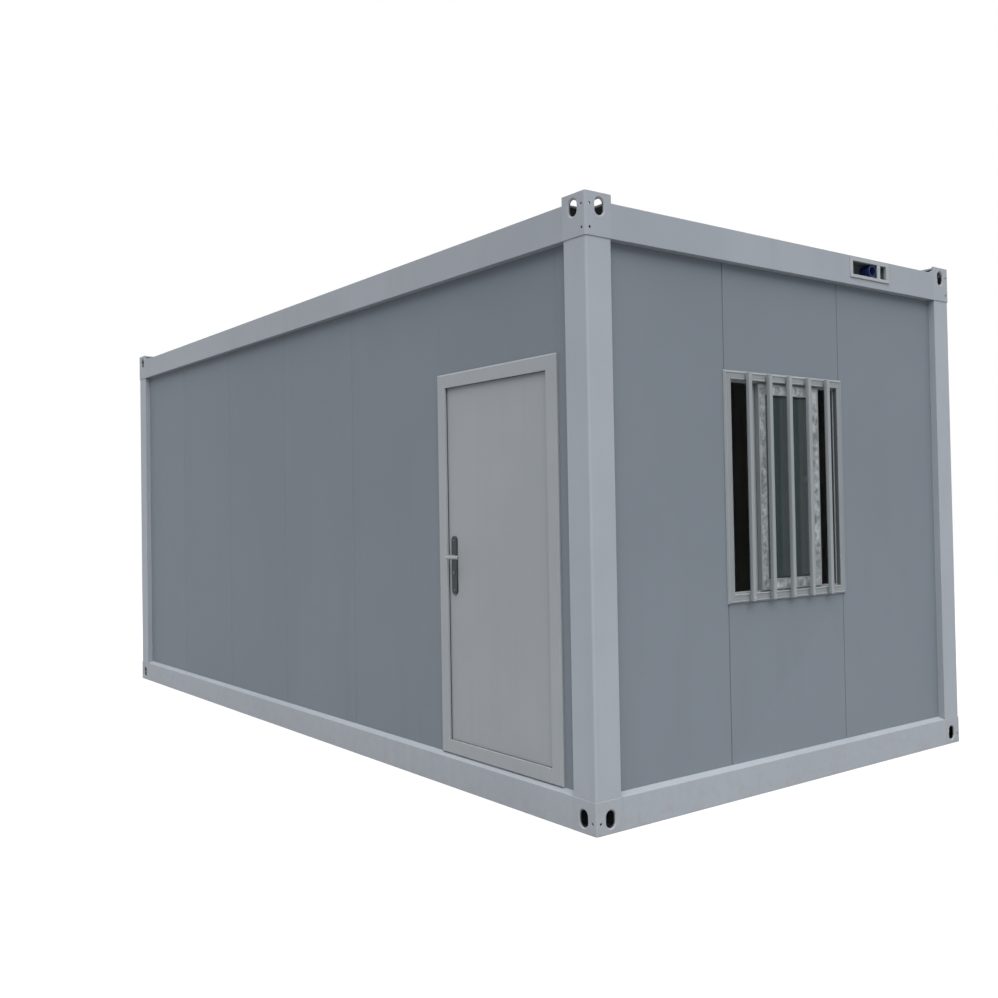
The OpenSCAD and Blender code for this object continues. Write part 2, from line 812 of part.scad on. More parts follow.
module window_frame() {
    depth = window_proud + panel_t;
    body = frame_overlap + fit_gap;
    outer_track = sash_back + sash_t / 2;
    section = concat(
        [[0, frame_bevel], [frame_bevel, 0], [window_face_w, 0]],
        track(outer_track), track(outer_track + sash_t + sash_gap),
        [[window_face_w, depth], [body, depth], [body, window_proud], [0, window_proud]]);
    color(white_pvc) on_right() translate([window_s, window_face_d, window_up])
        mitred_frame(window_frame_w, window_frame_h, section, window_face_w + track_h + cut, depth);
}

// Places a child at the lower front corner of a sash that slides in the given track
module in_track(along, depth) {
    on_right()
        translate([
            window_s - window_open_w / 2 + along + sash_w / 2,
            depth, window_up + window_face_w + track_h + hinge_play
        ]) children();
}

sash_h = window_open_h - 2 * (track_h + hinge_play);
module sash() {
    mitred_frame(sash_w, sash_h,
        [[0, 0], [sash_face_w, 0], [sash_face_w, sash_t], [0, sash_t]], sash_face_w + cut, sash_t);
}

module pane() {
    pane_w = sash_w - 2 * (sash_face_w + hinge_play);
    pane_h = sash_h - 2 * (sash_face_w + hinge_play);
    translate([-pane_w / 2, (sash_t - pane_t) / 2, sash_face_w + hinge_play])
        cube([pane_w, pane_t, pane_h]);
}

module window_sashes() {
    color(white_pvc) {
        in_track(outer_sash_in, outer_sash_d) sash();
        in_track(inner_sash_in, inner_sash_d) sash();
    }
}

module window_glass() {
    color(glass_grey) {
        in_track(outer_sash_in, outer_sash_d) pane();
        in_track(inner_sash_in, inner_sash_d) pane();
    }
}

// Pocket behind the roof beam's face, with a seat for the socket, and its bezel on the face
module power_inlet_box() {
    out_w = inlet_w + 2 * inlet_t;
    out_h = inlet_h + 2 * inlet_t;
    face_w = inlet_w + 2 * bezel_w[0];
    color(frame_grey) on_right() translate([inlet_in, 0, inlet_z]) {
        difference() {
            union() {
                translate([-face_w / 2, -bezel_t, -inlet_h / 2 - bezel_w[1]])
                    cube([face_w, bezel_t, inlet_h + 2 * bezel_w[1]]);
                translate([-face_w / 2, -bezel_t - lip_proud, -inlet_h / 2 - bezel_w[1]])
                    cube([face_w, bezel_t + lip_proud, bezel_w[1]]);
                translate([-out_w / 2, -cut, -out_h / 2])
                    cube([out_w, inlet_d + inlet_t + cut, out_h]);
            }
            translate([-inlet_w / 2, -bezel_t - cut, -inlet_h / 2])
                cube([inlet_w, bezel_t + cut + inlet_d, inlet_h]);
        }
        translate([inlet_bar_s - inlet_bar_w / 2, -bezel_t, -inlet_h / 2 - cut])
            cube([inlet_bar_w, 2 * bezel_t, inlet_h + 2 * cut]);
        translate([socket_s - socket_seat_w / 2, inlet_d - socket_seat_t, -inlet_h / 2 - cut])
            cube([socket_seat_w, socket_seat_t + cut, inlet_h + 2 * cut]);
    }
}

// Round socket that stands out from its seat in the pocket
module power_inlet_socket() {
    color(socket_blue) on_right()
        translate([inlet_in + socket_s, inlet_d - socket_seat_t, inlet_z])
            rotate([90, 0, 0]) difference() {
                cylinder(r = socket_r, h = socket_l);
                translate([0, 0, socket_t]) cylinder(r = socket_r - socket_t, h = socket_l);
            }
}

base_corner(left, front);  // base_corner_front_left
base_corner(right, front);  // base_corner_front_right
base_corner(left, back);  // base_corner_back_left
base_corner(right, back);  // base_corner_back_right
roof_corner(left, front);  // roof_corner_front_left
roof_corner(right, front);  // roof_corner_front_right
roof_corner(left, back);  // roof_corner_back_left
roof_corner(right, back);  // roof_corner_back_right
corner_post(left, front);  // corner_post_front_left
corner_post(right, front);  // corner_post_front_right
corner_post(left, back);  // corner_post_back_left
corner_post(right, back);  // corner_post_back_right
base_beam_front();
base_beam_back();
base_beam_left();
base_beam_right();
roof_beam_front();
roof_beam_back();
roof_beam_left();
roof_beam_right();
front_wall();
door_side_panel();
door_head_panel();
back_wall();
left_wall();
right_wall_front();
right_wall_back();
window_sill_panel();
window_head_panel();
floor_joists();
floor_board();
roof_purlins();
roof_sheet();
ceiling();
door_frame();
door_leaf();
hinge_frame_halves();
hinge_leaf_halves();
door_handle_plates();
door_lever();
window_frame();
window_sashes();
window_glass();
power_inlet_box();
power_inlet_socket();
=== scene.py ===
import json
import math
import random

import bmesh
import bpy
from mathutils import Matrix, Vector


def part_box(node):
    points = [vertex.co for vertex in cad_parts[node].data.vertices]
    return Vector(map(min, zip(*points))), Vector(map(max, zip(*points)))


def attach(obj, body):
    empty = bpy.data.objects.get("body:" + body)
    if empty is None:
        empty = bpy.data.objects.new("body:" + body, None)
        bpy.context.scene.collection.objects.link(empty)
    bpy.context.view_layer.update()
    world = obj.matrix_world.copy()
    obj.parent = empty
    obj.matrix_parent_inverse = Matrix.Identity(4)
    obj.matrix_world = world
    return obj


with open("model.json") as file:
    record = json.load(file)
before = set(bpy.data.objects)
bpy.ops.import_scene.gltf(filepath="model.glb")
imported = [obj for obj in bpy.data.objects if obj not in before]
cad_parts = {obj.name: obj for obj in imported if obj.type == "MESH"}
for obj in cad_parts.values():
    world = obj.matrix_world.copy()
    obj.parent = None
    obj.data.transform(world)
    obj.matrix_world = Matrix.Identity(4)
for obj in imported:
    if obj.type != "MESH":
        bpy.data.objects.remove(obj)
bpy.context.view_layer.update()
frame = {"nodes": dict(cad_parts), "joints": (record.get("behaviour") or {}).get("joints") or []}  # steel frame, panels, door, window and power inlet, as packed
nodes = frame["nodes"]
print("frame loaded:", len(nodes), "nodes")

# a wall's own frame: x along the wall from the front right corner, y inwards, z up
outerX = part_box("base_corner_front_right")[1].x
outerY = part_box("base_corner_front_right")[0].y
frontWall = Matrix(((-1, 0, 0, outerX), (0, 1, 0, outerY), (0, 0, 1, 0), (0, 0, 0, 1)))
endWall = Matrix(((0, -1, 0, outerX), (1, 0, 0, outerY), (0, 0, 1, 0), (0, 0, 0, 1)))
outward = Vector((0, -1, 0))
inward = Vector((0, 1, 0))


def wallPoints(name, wall):  # a node's points in the wall's frame
    back = wall.inverted()
    return [back @ v.co for v in nodes[name].data.vertices]


def wallBox(name, wall, keep=lambda p: True):  # lowest and highest corner of the points to keep
    points = [p for p in wallPoints(name, wall) if keep(p)]
    low = Vector([min(p[i] for p in points) for i in range(3)])
    high = Vector([max(p[i] for p in points) for i in range(3)])
    return low, high


def jointAt(name, wall):  # a joint's place in the wall's frame
    joint = next(j for j in frame["joints"] if j["name"] == name)
    return wall.inverted() @ Vector(joint["pos_m"])


# small helpers for node trees
def paint(red, green, blue):  # screen colour to linear light
    def lin(c):
        c = c / 255
        return c / 12.92 if c <= 0.04045 else ((c + 0.055) / 1.055) ** 2.4

    return lin(red), lin(green), lin(blue), 1.0


def addNode(tree, kind, sockets=None, **settings):
    made = tree.nodes.new("ShaderNode" + kind)
    for key, value in settings.items():
        setattr(made, key, value)
    for key, value in (sockets or {}).items():
        if isinstance(value, bpy.types.NodeSocket):
            tree.links.new(value, made.inputs[key])
        else:
            made.inputs[key].default_value = value
    return made


def mathOf(tree, operation, a, b=0.0, clamp=False):
    return addNode(tree, "Math", {0: a, 1: b}, operation=operation, use_clamp=clamp).outputs[0]


def mixOf(tree, factor, a, b):
    return addNode(tree, "Mix", {0: factor, 6: a, 7: b}, data_type="RGBA").outputs[2]


def rampOf(tree, value, start, end, low=0.0, high=1.0):
    sockets = {"Value": value, "From Min": start, "From Max": end, "To Min": low, "To Max": high}
    return addNode(tree, "MapRange", sockets, interpolation_type="SMOOTHSTEP").outputs["Result"]


def whereOf(tree):
    return addNode(tree, "TexCoord").outputs["Object"]


def noiseOf(tree, where, scale, detail=2.0, rough=0.5):
    sockets = {"Vector": where, "Scale": scale, "Detail": detail, "Roughness": rough}
    return addNode(tree, "TexNoise", sockets).outputs["Fac"]


def stretchOf(tree, where, x, y, z):
    by = addNode(tree, "CombineXYZ", {0: x, 1: y, 2: z}).outputs[0]
    return addNode(tree, "VectorMath", {0: where, 1: by}, operation="MULTIPLY").outputs[0]


def newGroup(name, takes, gives):
    tree = bpy.data.node_groups.new(name, "ShaderNodeTree")
    for label, value in takes.items():
        made = tree.interface.new_socket(label, in_out="INPUT", socket_type="NodeSocketFloat")
        made.default_value = value
    for label, kind in gives.items():
        tree.interface.new_socket(label, in_out="OUTPUT", socket_type="NodeSocket" + kind)
    inside, outside = tree.nodes.new("NodeGroupInput"), tree.nodes.new("NodeGroupOutput")
    return tree, inside.outputs, outside.inputs


def giveOut(tree, gives, results):
    for label, socket in results.items():
        tree.links.new(socket, gives[label])


# effects that several finishes share: noise by scale, detail and roughness, masks by their range
edgeSpec = {"samples": 6, "turn": (0.995, 0.82)}


def makeSoftEdge():  # rounded normals along folds and cut edges, and a mask of those edges
    tree, takes, gives = newGroup("softEdge", {"Width": 0.003}, {"Normal": "Vector", "Edge": "Float"})
    bevel = addNode(tree, "Bevel", {"Radius": takes["Width"]}, samples=edgeSpec["samples"])
    flat = addNode(tree, "NewGeometry").outputs["Normal"]
    sockets = {0: bevel.outputs[0], 1: flat}
    turned = addNode(tree, "VectorMath", sockets, operation="DOT_PRODUCT").outputs["Value"]
    edge = rampOf(tree, turned, *edgeSpec["turn"])
    giveOut(tree, gives, {"Normal": bevel.outputs[0], "Edge": edge})
    return tree


skinSpec = {
    "peel": (2.0, 0.55), "cloud": (4.0, 0.6), "cloudRange": (0.3, 0.7), "speckScale": 0.16,
    "speck": (3.0, 0.6), "speckRange": (0.69, 0.74),
}


def makePaintSkin():  # orange peel, slow clouds in the tone and a few specks
    takesIn = {"Grain": 420.0, "Cloud": 0.9}
    givesOut = {"Height": "Float", "Cloud": "Float", "Speck": "Float"}
    tree, takes, gives = newGroup("paintSkin", takesIn, givesOut)
    where = whereOf(tree)
    peel = noiseOf(tree, where, takes["Grain"], *skinSpec["peel"])
    cloud = noiseOf(tree, where, takes["Cloud"], *skinSpec["cloud"])
    wider = mathOf(tree, "MULTIPLY", takes["Grain"], skinSpec["speckScale"])
    speck = noiseOf(tree, where, wider, *skinSpec["speck"])
    giveOut(tree, gives, {
        "Height": peel,
        "Cloud": rampOf(tree, cloud, *skinSpec["cloudRange"]),
        "Speck": rampOf(tree, speck, *skinSpec["speckRange"]),
    })
    return tree


dustSpec = {
    "spatter": (16.0, 8.0, 0.72), "spatterRange": (0.44, 0.72), "levelRange": (0.5, 0.95),
    "lying": (2.6, 6.0, 0.65), "lyingRange": (0.34, 0.72),
}


def makeGroundDust():  # splashed soil low down, and dust that lies on level faces
    takesIn = {"Splash": 0.35, "Settle": 0.5}
    tree, takes, gives = newGroup("groundDust", takesIn, {"Mask": "Float"})
    where = whereOf(tree)
    height = addNode(tree, "SeparateXYZ", {0: where}).outputs[2]
    near = rampOf(tree, height, takes["Splash"], 0.0)
    spatter = rampOf(tree, noiseOf(tree, where, *dustSpec["spatter"]), *dustSpec["spatterRange"])
    normal = addNode(tree, "NewGeometry").outputs["Normal"]
    up = addNode(tree, "SeparateXYZ", {0: normal}).outputs[2]
    level = rampOf(tree, up, *dustSpec["levelRange"])
    lying = rampOf(tree, noiseOf(tree, where, *dustSpec["lying"]), *dustSpec["lyingRange"])
    settled = mathOf(tree, "MULTIPLY", mathOf(tree, "MULTIPLY", level, lying), takes["Settle"])
    splashed = mathOf(tree, "MULTIPLY", near, spatter)
    giveOut(tree, gives, {"Mask": mathOf(tree, "MAXIMUM", splashed, settled)})
    return tree


streakSpec = {
    "length": 0.4, "run": (1.0, 6.0, 0.62), "runRange": (0.46, 0.74), "patch": (0.8, 2.0),
    "patchRange": (0.35, 0.65),
}


def makeRainStreaks():  # faint runs down an upright face
    tree, takes, gives = newGroup("rainStreaks", {"Spacing": 9.0}, {"Mask": "Float"})
    where = whereOf(tree)
    runs = stretchOf(tree, where, takes["Spacing"], takes["Spacing"], streakSpec["length"])
    streak = rampOf(tree, noiseOf(tree, runs, *streakSpec["run"]), *streakSpec["runRange"])
    patch = rampOf(tree, noiseOf(tree, where, *streakSpec["patch"]), *streakSpec["patchRange"])
    giveOut(tree, gives, {"Mask": mathOf(tree, "MULTIPLY", streak, patch)})
    return tree


spangleSpec = {"warp": 30.0, "detail": 2.0, "bend": 0.012}


def makeZincSpangle():  # crystals of hot-dip zinc
    tree, takes, gives = newGroup("zincSpangle", {"Crystals": 75.0}, {"Tone": "Float", "Rough": "Float"})
    where = whereOf(tree)
    sockets = {"Vector": where, "Scale": spangleSpec["warp"], "Detail": spangleSpec["detail"]}
    warp = addNode(tree, "TexNoise", sockets).outputs["Color"]
    sockets = {0: warp, "Scale": spangleSpec["bend"]}
    bent = addNode(tree, "VectorMath", sockets, operation="SCALE").outputs[0]
    moved = addNode(tree, "VectorMath", {0: where, 1: bent}, operation="ADD").outputs[0]
    cells = addNode(tree, "TexVoronoi", {"Vector": moved, "Scale": takes["Crystals"]}).outputs["Color"]
    split = addNode(tree, "SeparateColor", {0: cells})
    giveOut(tree, gives, {"Tone": split.outputs[0], "Rough": split.outputs[1]})
    return tree


brushSpec = {"fine": (2.0, 0.6), "broadScale": 0.12, "broad": (3.0, 0.6), "toneRange": (0.3, 0.7)}


def makeBrushLines():  # fine lines left by a brush or a drawing die
    takesIn = {"Fine": 1400.0, "AlongX": 1.0, "AlongY": 1.0, "AlongZ": 1.0}
    tree, takes, gives = newGroup("brushLines", takesIn, {"Height": "Float", "Tone": "Float"})
    where = whereOf(tree)
    lines = stretchOf(tree, where, takes["AlongX"], takes["AlongY"], takes["AlongZ"])
    fine = noiseOf(tree, lines, takes["Fine"], *brushSpec["fine"])
    wider = mathOf(tree, "MULTIPLY", takes["Fine"], brushSpec["broadScale"])
    broad = noiseOf(tree, lines, wider, *brushSpec["broad"])
    giveOut(tree, gives, {"Height": fine, "Tone": rampOf(tree, broad, *brushSpec["toneRange"])})
    return tree


softEdge = makeSoftEdge()
paintSkin = makePaintSkin()
groundDust = makeGroundDust()
rainStreaks = makeRainStreaks()
zincSpangle = makeZincSpangle()
brushLines = makeBrushLines()
print("shared effects ready:", len(bpy.data.node_groups))


# finishes
def startMaterial(name):
    material = bpy.data.materials.new(name)
    material.use_nodes = True
    tree = material.node_tree
    return material, tree, tree.nodes["Principled BSDF"]


def place(tree, group, **values):
    return addNode(tree, "Group", values, node_tree=group).outputs


def finishNormal(tree, shader, height, strength, depth, normal):
    sockets = {"Strength": strength, "Distance": depth, "Height": height, "Normal": normal}
    bump = addNode(tree, "Bump", sockets)
    tree.links.new(bump.outputs[0], shader.inputs["Normal"])


soil = paint(134, 126, 114)
coatDefaults = {
    "colour": (157, 162, 169), "shade": (151, 156, 163), "edgeHighlight": (184, 188, 192),
    "streakColour": (130, 134, 138), "speckColour": (122, 125, 128),
    "rough": 0.46, "specular": 0.1, "grain": 420.0, "peel": 0.10, "peelDepth": 0.0004, "cloud": 0.9,
    "edge": 0.003, "edgeShow": 0.35, "streaks": 0.14, "streakSpacing": 9.0, "specks": 0.08,
    "splash": 0.30, "settle": 0.20, "dust": 0.22, "roughSpread": 0.06, "dustRough": 0.4,
}


def coated(name, changes, recolour=None):  # paint, powder coat or moulded plastic
    look = {**coatDefaults, **changes}
    material, tree, shader = startMaterial(name)
    skin = place(tree, paintSkin, Grain=look["grain"], Cloud=look["cloud"])
    edges = place(tree, softEdge, Width=look["edge"])
    streaks = place(tree, rainStreaks, Spacing=look["streakSpacing"])
    dust = place(tree, groundDust, Splash=look["splash"], Settle=look["settle"])
    base = mixOf(tree, skin["Cloud"], paint(*look["shade"]), paint(*look["colour"]))
    if recolour:
        base = recolour(tree, base)
    # rain streaks and specks of the finish, then a painted highlight along the edges
    for mask, share, colour in (
        (streaks["Mask"], "streaks", "streakColour"),
        (skin["Speck"], "specks", "speckColour"),
        (edges["Edge"], "edgeShow", "edgeHighlight"),
    ):
        base = mixOf(tree, mathOf(tree, "MULTIPLY", mask, look[share]), base, paint(*look[colour]))
    lying = mathOf(tree, "MULTIPLY", dust["Mask"], look["dust"])
    tree.links.new(mixOf(tree, lying, base, soil), shader.inputs["Base Color"])
    rough = rampOf(tree, skin["Cloud"], 0.0, 1.0, look["rough"], look["rough"] + look["roughSpread"])
    rough = mathOf(tree, "ADD", rough, mathOf(tree, "MULTIPLY", lying, look["dustRough"]), True)
    tree.links.new(rough, shader.inputs["Roughness"])
    shader.inputs["Specular IOR Level"].default_value = look["specular"]
    finishNormal(tree, shader, skin["Height"], look["peel"], look["peelDepth"], edges["Normal"])
    return material


def insideWalls(tree, depth):  # mask of what lies further in than a depth from the outer faces
    where = addNode(tree, "SeparateXYZ", {0: whereOf(tree)}).outputs
    insideX = mathOf(tree, "LESS_THAN", mathOf(tree, "ABSOLUTE", where[0]), outerX - depth)
    insideY = mathOf(tree, "LESS_THAN", mathOf(tree, "ABSOLUTE", where[1]), -outerY - depth)
    return mathOf(tree, "MULTIPLY", insideX, insideY), where[2]


framePaint = coated("framePaint", {"edge": 0.004})
# a darker copy of the frame paint: painted shade on the roof beams, with more rain streaks
roofBeamPaint = coated("roofBeamPaint", {
    "colour": (151, 156, 163), "shade": (145, 150, 157), "edge": 0.004, "streaks": 0.2,
})
castingLook = {
    "colour": (156, 161, 167), "shade": (148, 153, 160), "grain": 130.0, "peel": 0.22,
    "peelDepth": 0.0012, "rough": 0.5, "edge": 0.005, "edgeShow": 0.6, "specks": 0.3,
}
# painted shade for the insides of the castings
castingHollowShade = {"colour": (50, 53, 56), "wall": 0.005}


def hollowShadeColour(tree, base):  # painted shade inside the castings' hollows: a dark colour up to the roof beams' tops
    inside, height = insideWalls(tree, castingHollowShade["wall"])
    below = mathOf(tree, "LESS_THAN", height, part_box("roof_beam_front")[1].z)
    return mixOf(tree, mathOf(tree, "MULTIPLY", inside, below), base, paint(*castingHollowShade["colour"]))


castingPaint = coated("castingPaint", castingLook, hollowShadeColour)

panelLook = {
    "colour": (121, 128, 136), "shade": (116, 123, 131), "edgeHighlight": (124, 131, 138),
    "streakColour": (106, 113, 120), "specular": 0.04, "grain": 300.0, "peel": 0.07,
    "edge": 0.002, "edgeShow": 0.3, "streaks": 0.20, "streakSpacing": 4.5, "splash": 0.42, "dust": 0.20,
    "cloud": 0.5,
}
panelSheet = {"spread": 0.14, "deep": (102, 111, 118), "inner": (220, 224, 226)}


def panelColour(tree, base):  # each sheet has its own slight tone, and a pale inner face
    chance = addNode(tree, "NewGeometry").outputs["Random Per Island"]
    tone = mathOf(tree, "MULTIPLY", chance, panelSheet["spread"])
    base = mixOf(tree, tone, base, paint(*panelSheet["deep"]))
    middle = sum(p.y for p in wallBox("front_wall", frontWall)) / 2
    return mixOf(tree, insideWalls(tree, middle)[0], base, paint(*panelSheet["inner"]))


# painted shade for the seams between panels
seamShade = {"colour": (108, 115, 122), "depth": 0.0012}


def seamShadeColour(tree, base):  # painted shade in the wider seams beside the window: a darker colour on faces deeper than the panels' face
    face = wallBox("right_wall_front", endWall)[0].y
    deep = insideWalls(tree, face + seamShade["depth"])[0]
    return panelColour(tree, mixOf(tree, deep, base, paint(*seamShade["colour"])))


panelPaint = coated("panelPaint", panelLook, panelColour)
bayPaint = coated("bayPaint", panelLook, seamShadeColour)
leafPaint = coated("leafPaint", {
    "colour": (150, 154, 158), "shade": (145, 149, 154), "rough": 0.4, "grain": 520.0, "peel": 0.09,
    "edge": 0.002, "streaks": 0.12, "streakSpacing": 14.0, "splash": 0.6, "dust": 0.12,
})
doorFramePaint = coated("doorFramePaint", {
    "colour": (153, 157, 160), "shade": (147, 151, 155), "rough": 0.34, "grain": 600.0, "peel": 0.06,
    "edge": 0.002, "edgeShow": 0.6, "splash": 0.5, "dust": 0.15,
})
# the frame's pale edges are a painted highlight
windowWhite = coated("windowWhite", {
    "colour": (136, 141, 143), "shade": (129, 134, 137), "edgeHighlight": (206, 210, 211), "rough": 0.4,
    "grain": 700.0, "peel": 0.05, "edge": 0.004, "edgeShow": 0.8, "streaks": 0.2, "settle": 0.3,
    "splash": 0.1,
})
barWhite = coated("barWhite", {
    "colour": (144, 149, 151), "shade": (137, 142, 145), "edgeHighlight": (172, 176, 177), "rough": 0.38,
    "grain": 700.0, "peel": 0.05, "edge": 0.002, "streaks": 0.2, "settle": 0.3, "splash": 0.1,
})
sashWhite = coated("sashWhite", {
    "colour": (138, 143, 145), "shade": (131, 136, 139), "edgeHighlight": (172, 176, 178), "rough": 0.32,
    "grain": 700.0, "peel": 0.05, "edge": 0.0015, "streaks": 0.25, "settle": 0.4, "splash": 0.1,
})
handleBlack = coated("handleBlack", {
    "colour": (46, 51, 54), "shade": (39, 43, 46), "edgeHighlight": (92, 97, 101),
    "streakColour": (62, 66, 69), "speckColour": (80, 83, 85), "rough": 0.42, "specular": 0.3,
    "grain": 1500.0, "peel": 0.12, "edge": 0.0015, "edgeShow": 0.5, "splash": 0.1,
})
inletLook = {
    "colour": (162, 167, 169), "shade": (154, 159, 162), "rough": 0.4, "grain": 500.0, "edge": 0.0015,
    "splash": 0.1, "settle": 0.3,
}
# painted shade for the inner faces of the inlet's pocket
inletPocketShade = {"colour": (96, 100, 104), "depth": 0.012}


def pocketShadeColour(tree, base):  # painted shade in the pocket behind the bezel: a darker colour on its inner faces
    inside = insideWalls(tree, inletPocketShade["depth"])[0]
    return mixOf(tree, inside, base, paint(*inletPocketShade["colour"]))


inletBezel = coated("inletBezel", inletLook, pocketShadeColour)
socketBlue = coated("socketBlue", {
    "colour": (34, 52, 100), "shade": (28, 44, 88), "edgeHighlight": (76, 94, 138),
    "streakColour": (50, 62, 92), "speckColour": (58, 72, 108), "rough": 0.36, "specular": 0.3,
    "grain": 900.0, "edge": 0.0012, "splash": 0.1,
})
sealRubber = coated("sealRubber", {
    "colour": (34, 36, 38), "shade": (27, 29, 31), "edgeHighlight": (54, 56, 58),
    "streakColour": (58, 59, 59), "speckColour": (66, 66, 66), "rough": 0.7, "specular": 0.25,
    "grain": 1600.0, "peel": 0.2, "edge": 0.001, "splash": 0.1,
})
# dark grey for the brush strips, partly painted shade of the window's reveals
pileAndRevealShade = coated("pileAndRevealShade", {
    "colour": (98, 103, 107), "shade": (88, 93, 97), "edgeHighlight": (112, 117, 120), "rough": 0.9,
    "streakColour": (84, 88, 91), "specular": 0.05, "grain": 2200.0, "peel": 0.5, "edge": 0.0006,
    "splash": 0.1,
})
ceilingWhite = coated("ceilingWhite", {
    "colour": (222, 225, 226), "shade": (216, 219, 220), "edgeHighlight": (226, 228, 229), "streaks": 0.0,
    "rough": 0.45, "splash": 0.1, "settle": 0.1,
})

zincSurface = {"dustRough": 0.2, "bump": 0.04, "depth": 0.0006}


def galvanised(name, look):  # zinc coat with crystals, and dust where it settles
    material, tree, shader = startMaterial(name)
    spangle = place(tree, zincSpangle, Crystals=look["crystals"])
    edges = place(tree, softEdge, Width=look["edge"])
    dust = place(tree, groundDust, Splash=look["splash"], Settle=look["settle"])
    base = mixOf(tree, spangle["Tone"], paint(*look["dark"]), paint(*look["light"]))
    base = mixOf(tree, mathOf(tree, "MULTIPLY", dust["Mask"], look["dust"]), base, soil)
    tree.links.new(base, shader.inputs["Base Color"])
    rough = rampOf(tree, spangle["Rough"], 0.0, 1.0, *look["rough"])
    dusty = mathOf(tree, "MULTIPLY", dust["Mask"], zincSurface["dustRough"])
    rough = mathOf(tree, "ADD", rough, dusty, True)
    tree.links.new(rough, shader.inputs["Roughness"])
    shader.inputs["Metallic"].default_value = look["metal"]
    shader.inputs["Specular IOR Level"].default_value = look["specular"]
    bump, depth = zincSurface["bump"], zincSurface["depth"]
    finishNormal(tree, shader, spangle["Tone"], bump, depth, edges["Normal"])
    return material


roofZinc = galvanised("roofZinc", {
    "dark": (158, 164, 168), "light": (182, 187, 190), "crystals": 75.0, "edge": 0.002, "metal": 0.3,
    "rough": (0.6, 0.75), "specular": 0.1, "splash": 0.1, "settle": 0.7, "dust": 0.5,
})
joistZinc = galvanised("joistZinc", {
    "dark": (140, 145, 149), "light": (166, 171, 174), "crystals": 60.0, "edge": 0.003, "metal": 0.7,
    "rough": (0.42, 0.58), "specular": 0.3, "splash": 0.25, "settle": 0.4, "dust": 0.6,
})

brushedSurface = {"edgeShow": 0.3, "depth": 0.0003}


def brushedMetal(name, look):  # drawn or brushed metal, with a painted highlight along its edges
    material, tree, shader = startMaterial(name)
    x, y, z = look["along"]
    lines = place(tree, brushLines, Fine=look["fine"], AlongX=x, AlongY=y, AlongZ=z)
    edges = place(tree, softEdge, Width=look["edge"])
    base = mixOf(tree, lines["Tone"], paint(*look["dark"]), paint(*look["light"]))
    edgeHighlightShare = mathOf(tree, "MULTIPLY", edges["Edge"], brushedSurface["edgeShow"])
    base = mixOf(tree, edgeHighlightShare, base, paint(*look["edgeHighlight"]))
    tree.links.new(base, shader.inputs["Base Color"])
    rough = rampOf(tree, lines["Tone"], 0.0, 1.0, *look["rough"])
    tree.links.new(rough, shader.inputs["Roughness"])
    shader.inputs["Metallic"].default_value = look["metal"]
    finishNormal(tree, shader, lines["Height"], look["bump"], brushedSurface["depth"], edges["Normal"])
    return material


leverSatin = brushedMetal("leverSatin", {
    "dark": (134, 137, 140), "light": (158, 161, 164), "edgeHighlight": (186, 188, 190), "fine": 1800.0,
    "along": (0.03, 1.0, 1.0), "edge": 0.002, "rough": (0.34, 0.46), "bump": 0.05, "metal": 0.5,
})
hingeSteel = brushedMetal("hingeSteel", {
    "dark": (150, 153, 156), "light": (180, 183, 186), "edgeHighlight": (204, 206, 208), "fine": 1500.0,
    "along": (1.0, 1.0, 0.04), "edge": 0.0012, "rough": (0.3, 0.45), "bump": 0.05, "metal": 0.9,
})
darkZinc = brushedMetal("darkZinc", {
    "dark": (84, 87, 90), "light": (112, 115, 118), "edgeHighlight": (140, 143, 145), "fine": 2400.0,
    "along": (1.0, 1.0, 1.0), "edge": 0.0005, "rough": (0.36, 0.52), "bump": 0.08, "metal": 0.6,
})
screwZinc = brushedMetal("screwZinc", {
    "dark": (146, 149, 151), "light": (186, 188, 190), "edgeHighlight": (206, 208, 209), "fine": 2400.0,
    "along": (1.0, 1.0, 1.0), "edge": 0.0005, "rough": (0.28, 0.48), "bump": 0.08, "metal": 0.9,
})
pinBrass = brushedMetal("pinBrass", {
    "dark": (176, 146, 84), "light": (205, 176, 108), "edgeHighlight": (222, 198, 140), "fine": 2400.0,
    "along": (0.05, 1.0, 1.0), "edge": 0.0005, "rough": (0.25, 0.4), "bump": 0.06, "metal": 1.0,
})

plyLook = {
    "light": (168, 152, 130), "dark": (138, 120, 98), "jointColour": (70, 56, 42), "sheet": 1.22,
    "joint": 0.0015, "grain": (60.0, 2.2, 60.0), "grainNoise": (1.0, 8.0, 0.66), "grainShare": 0.55,
    "flame": (7.0, 0.7, 7.0), "flameNoise": (1.0, 4.0, 0.6), "flameShare": 0.45,
    "toneRange": (0.35, 0.65), "splash": 0.1, "settle": 0.3, "dust": 0.6, "roughRange": (0.2, 0.8),
    "rough": (0.46, 0.64), "edge": 0.002, "bump": 0.12, "depth": 0.0008,
}


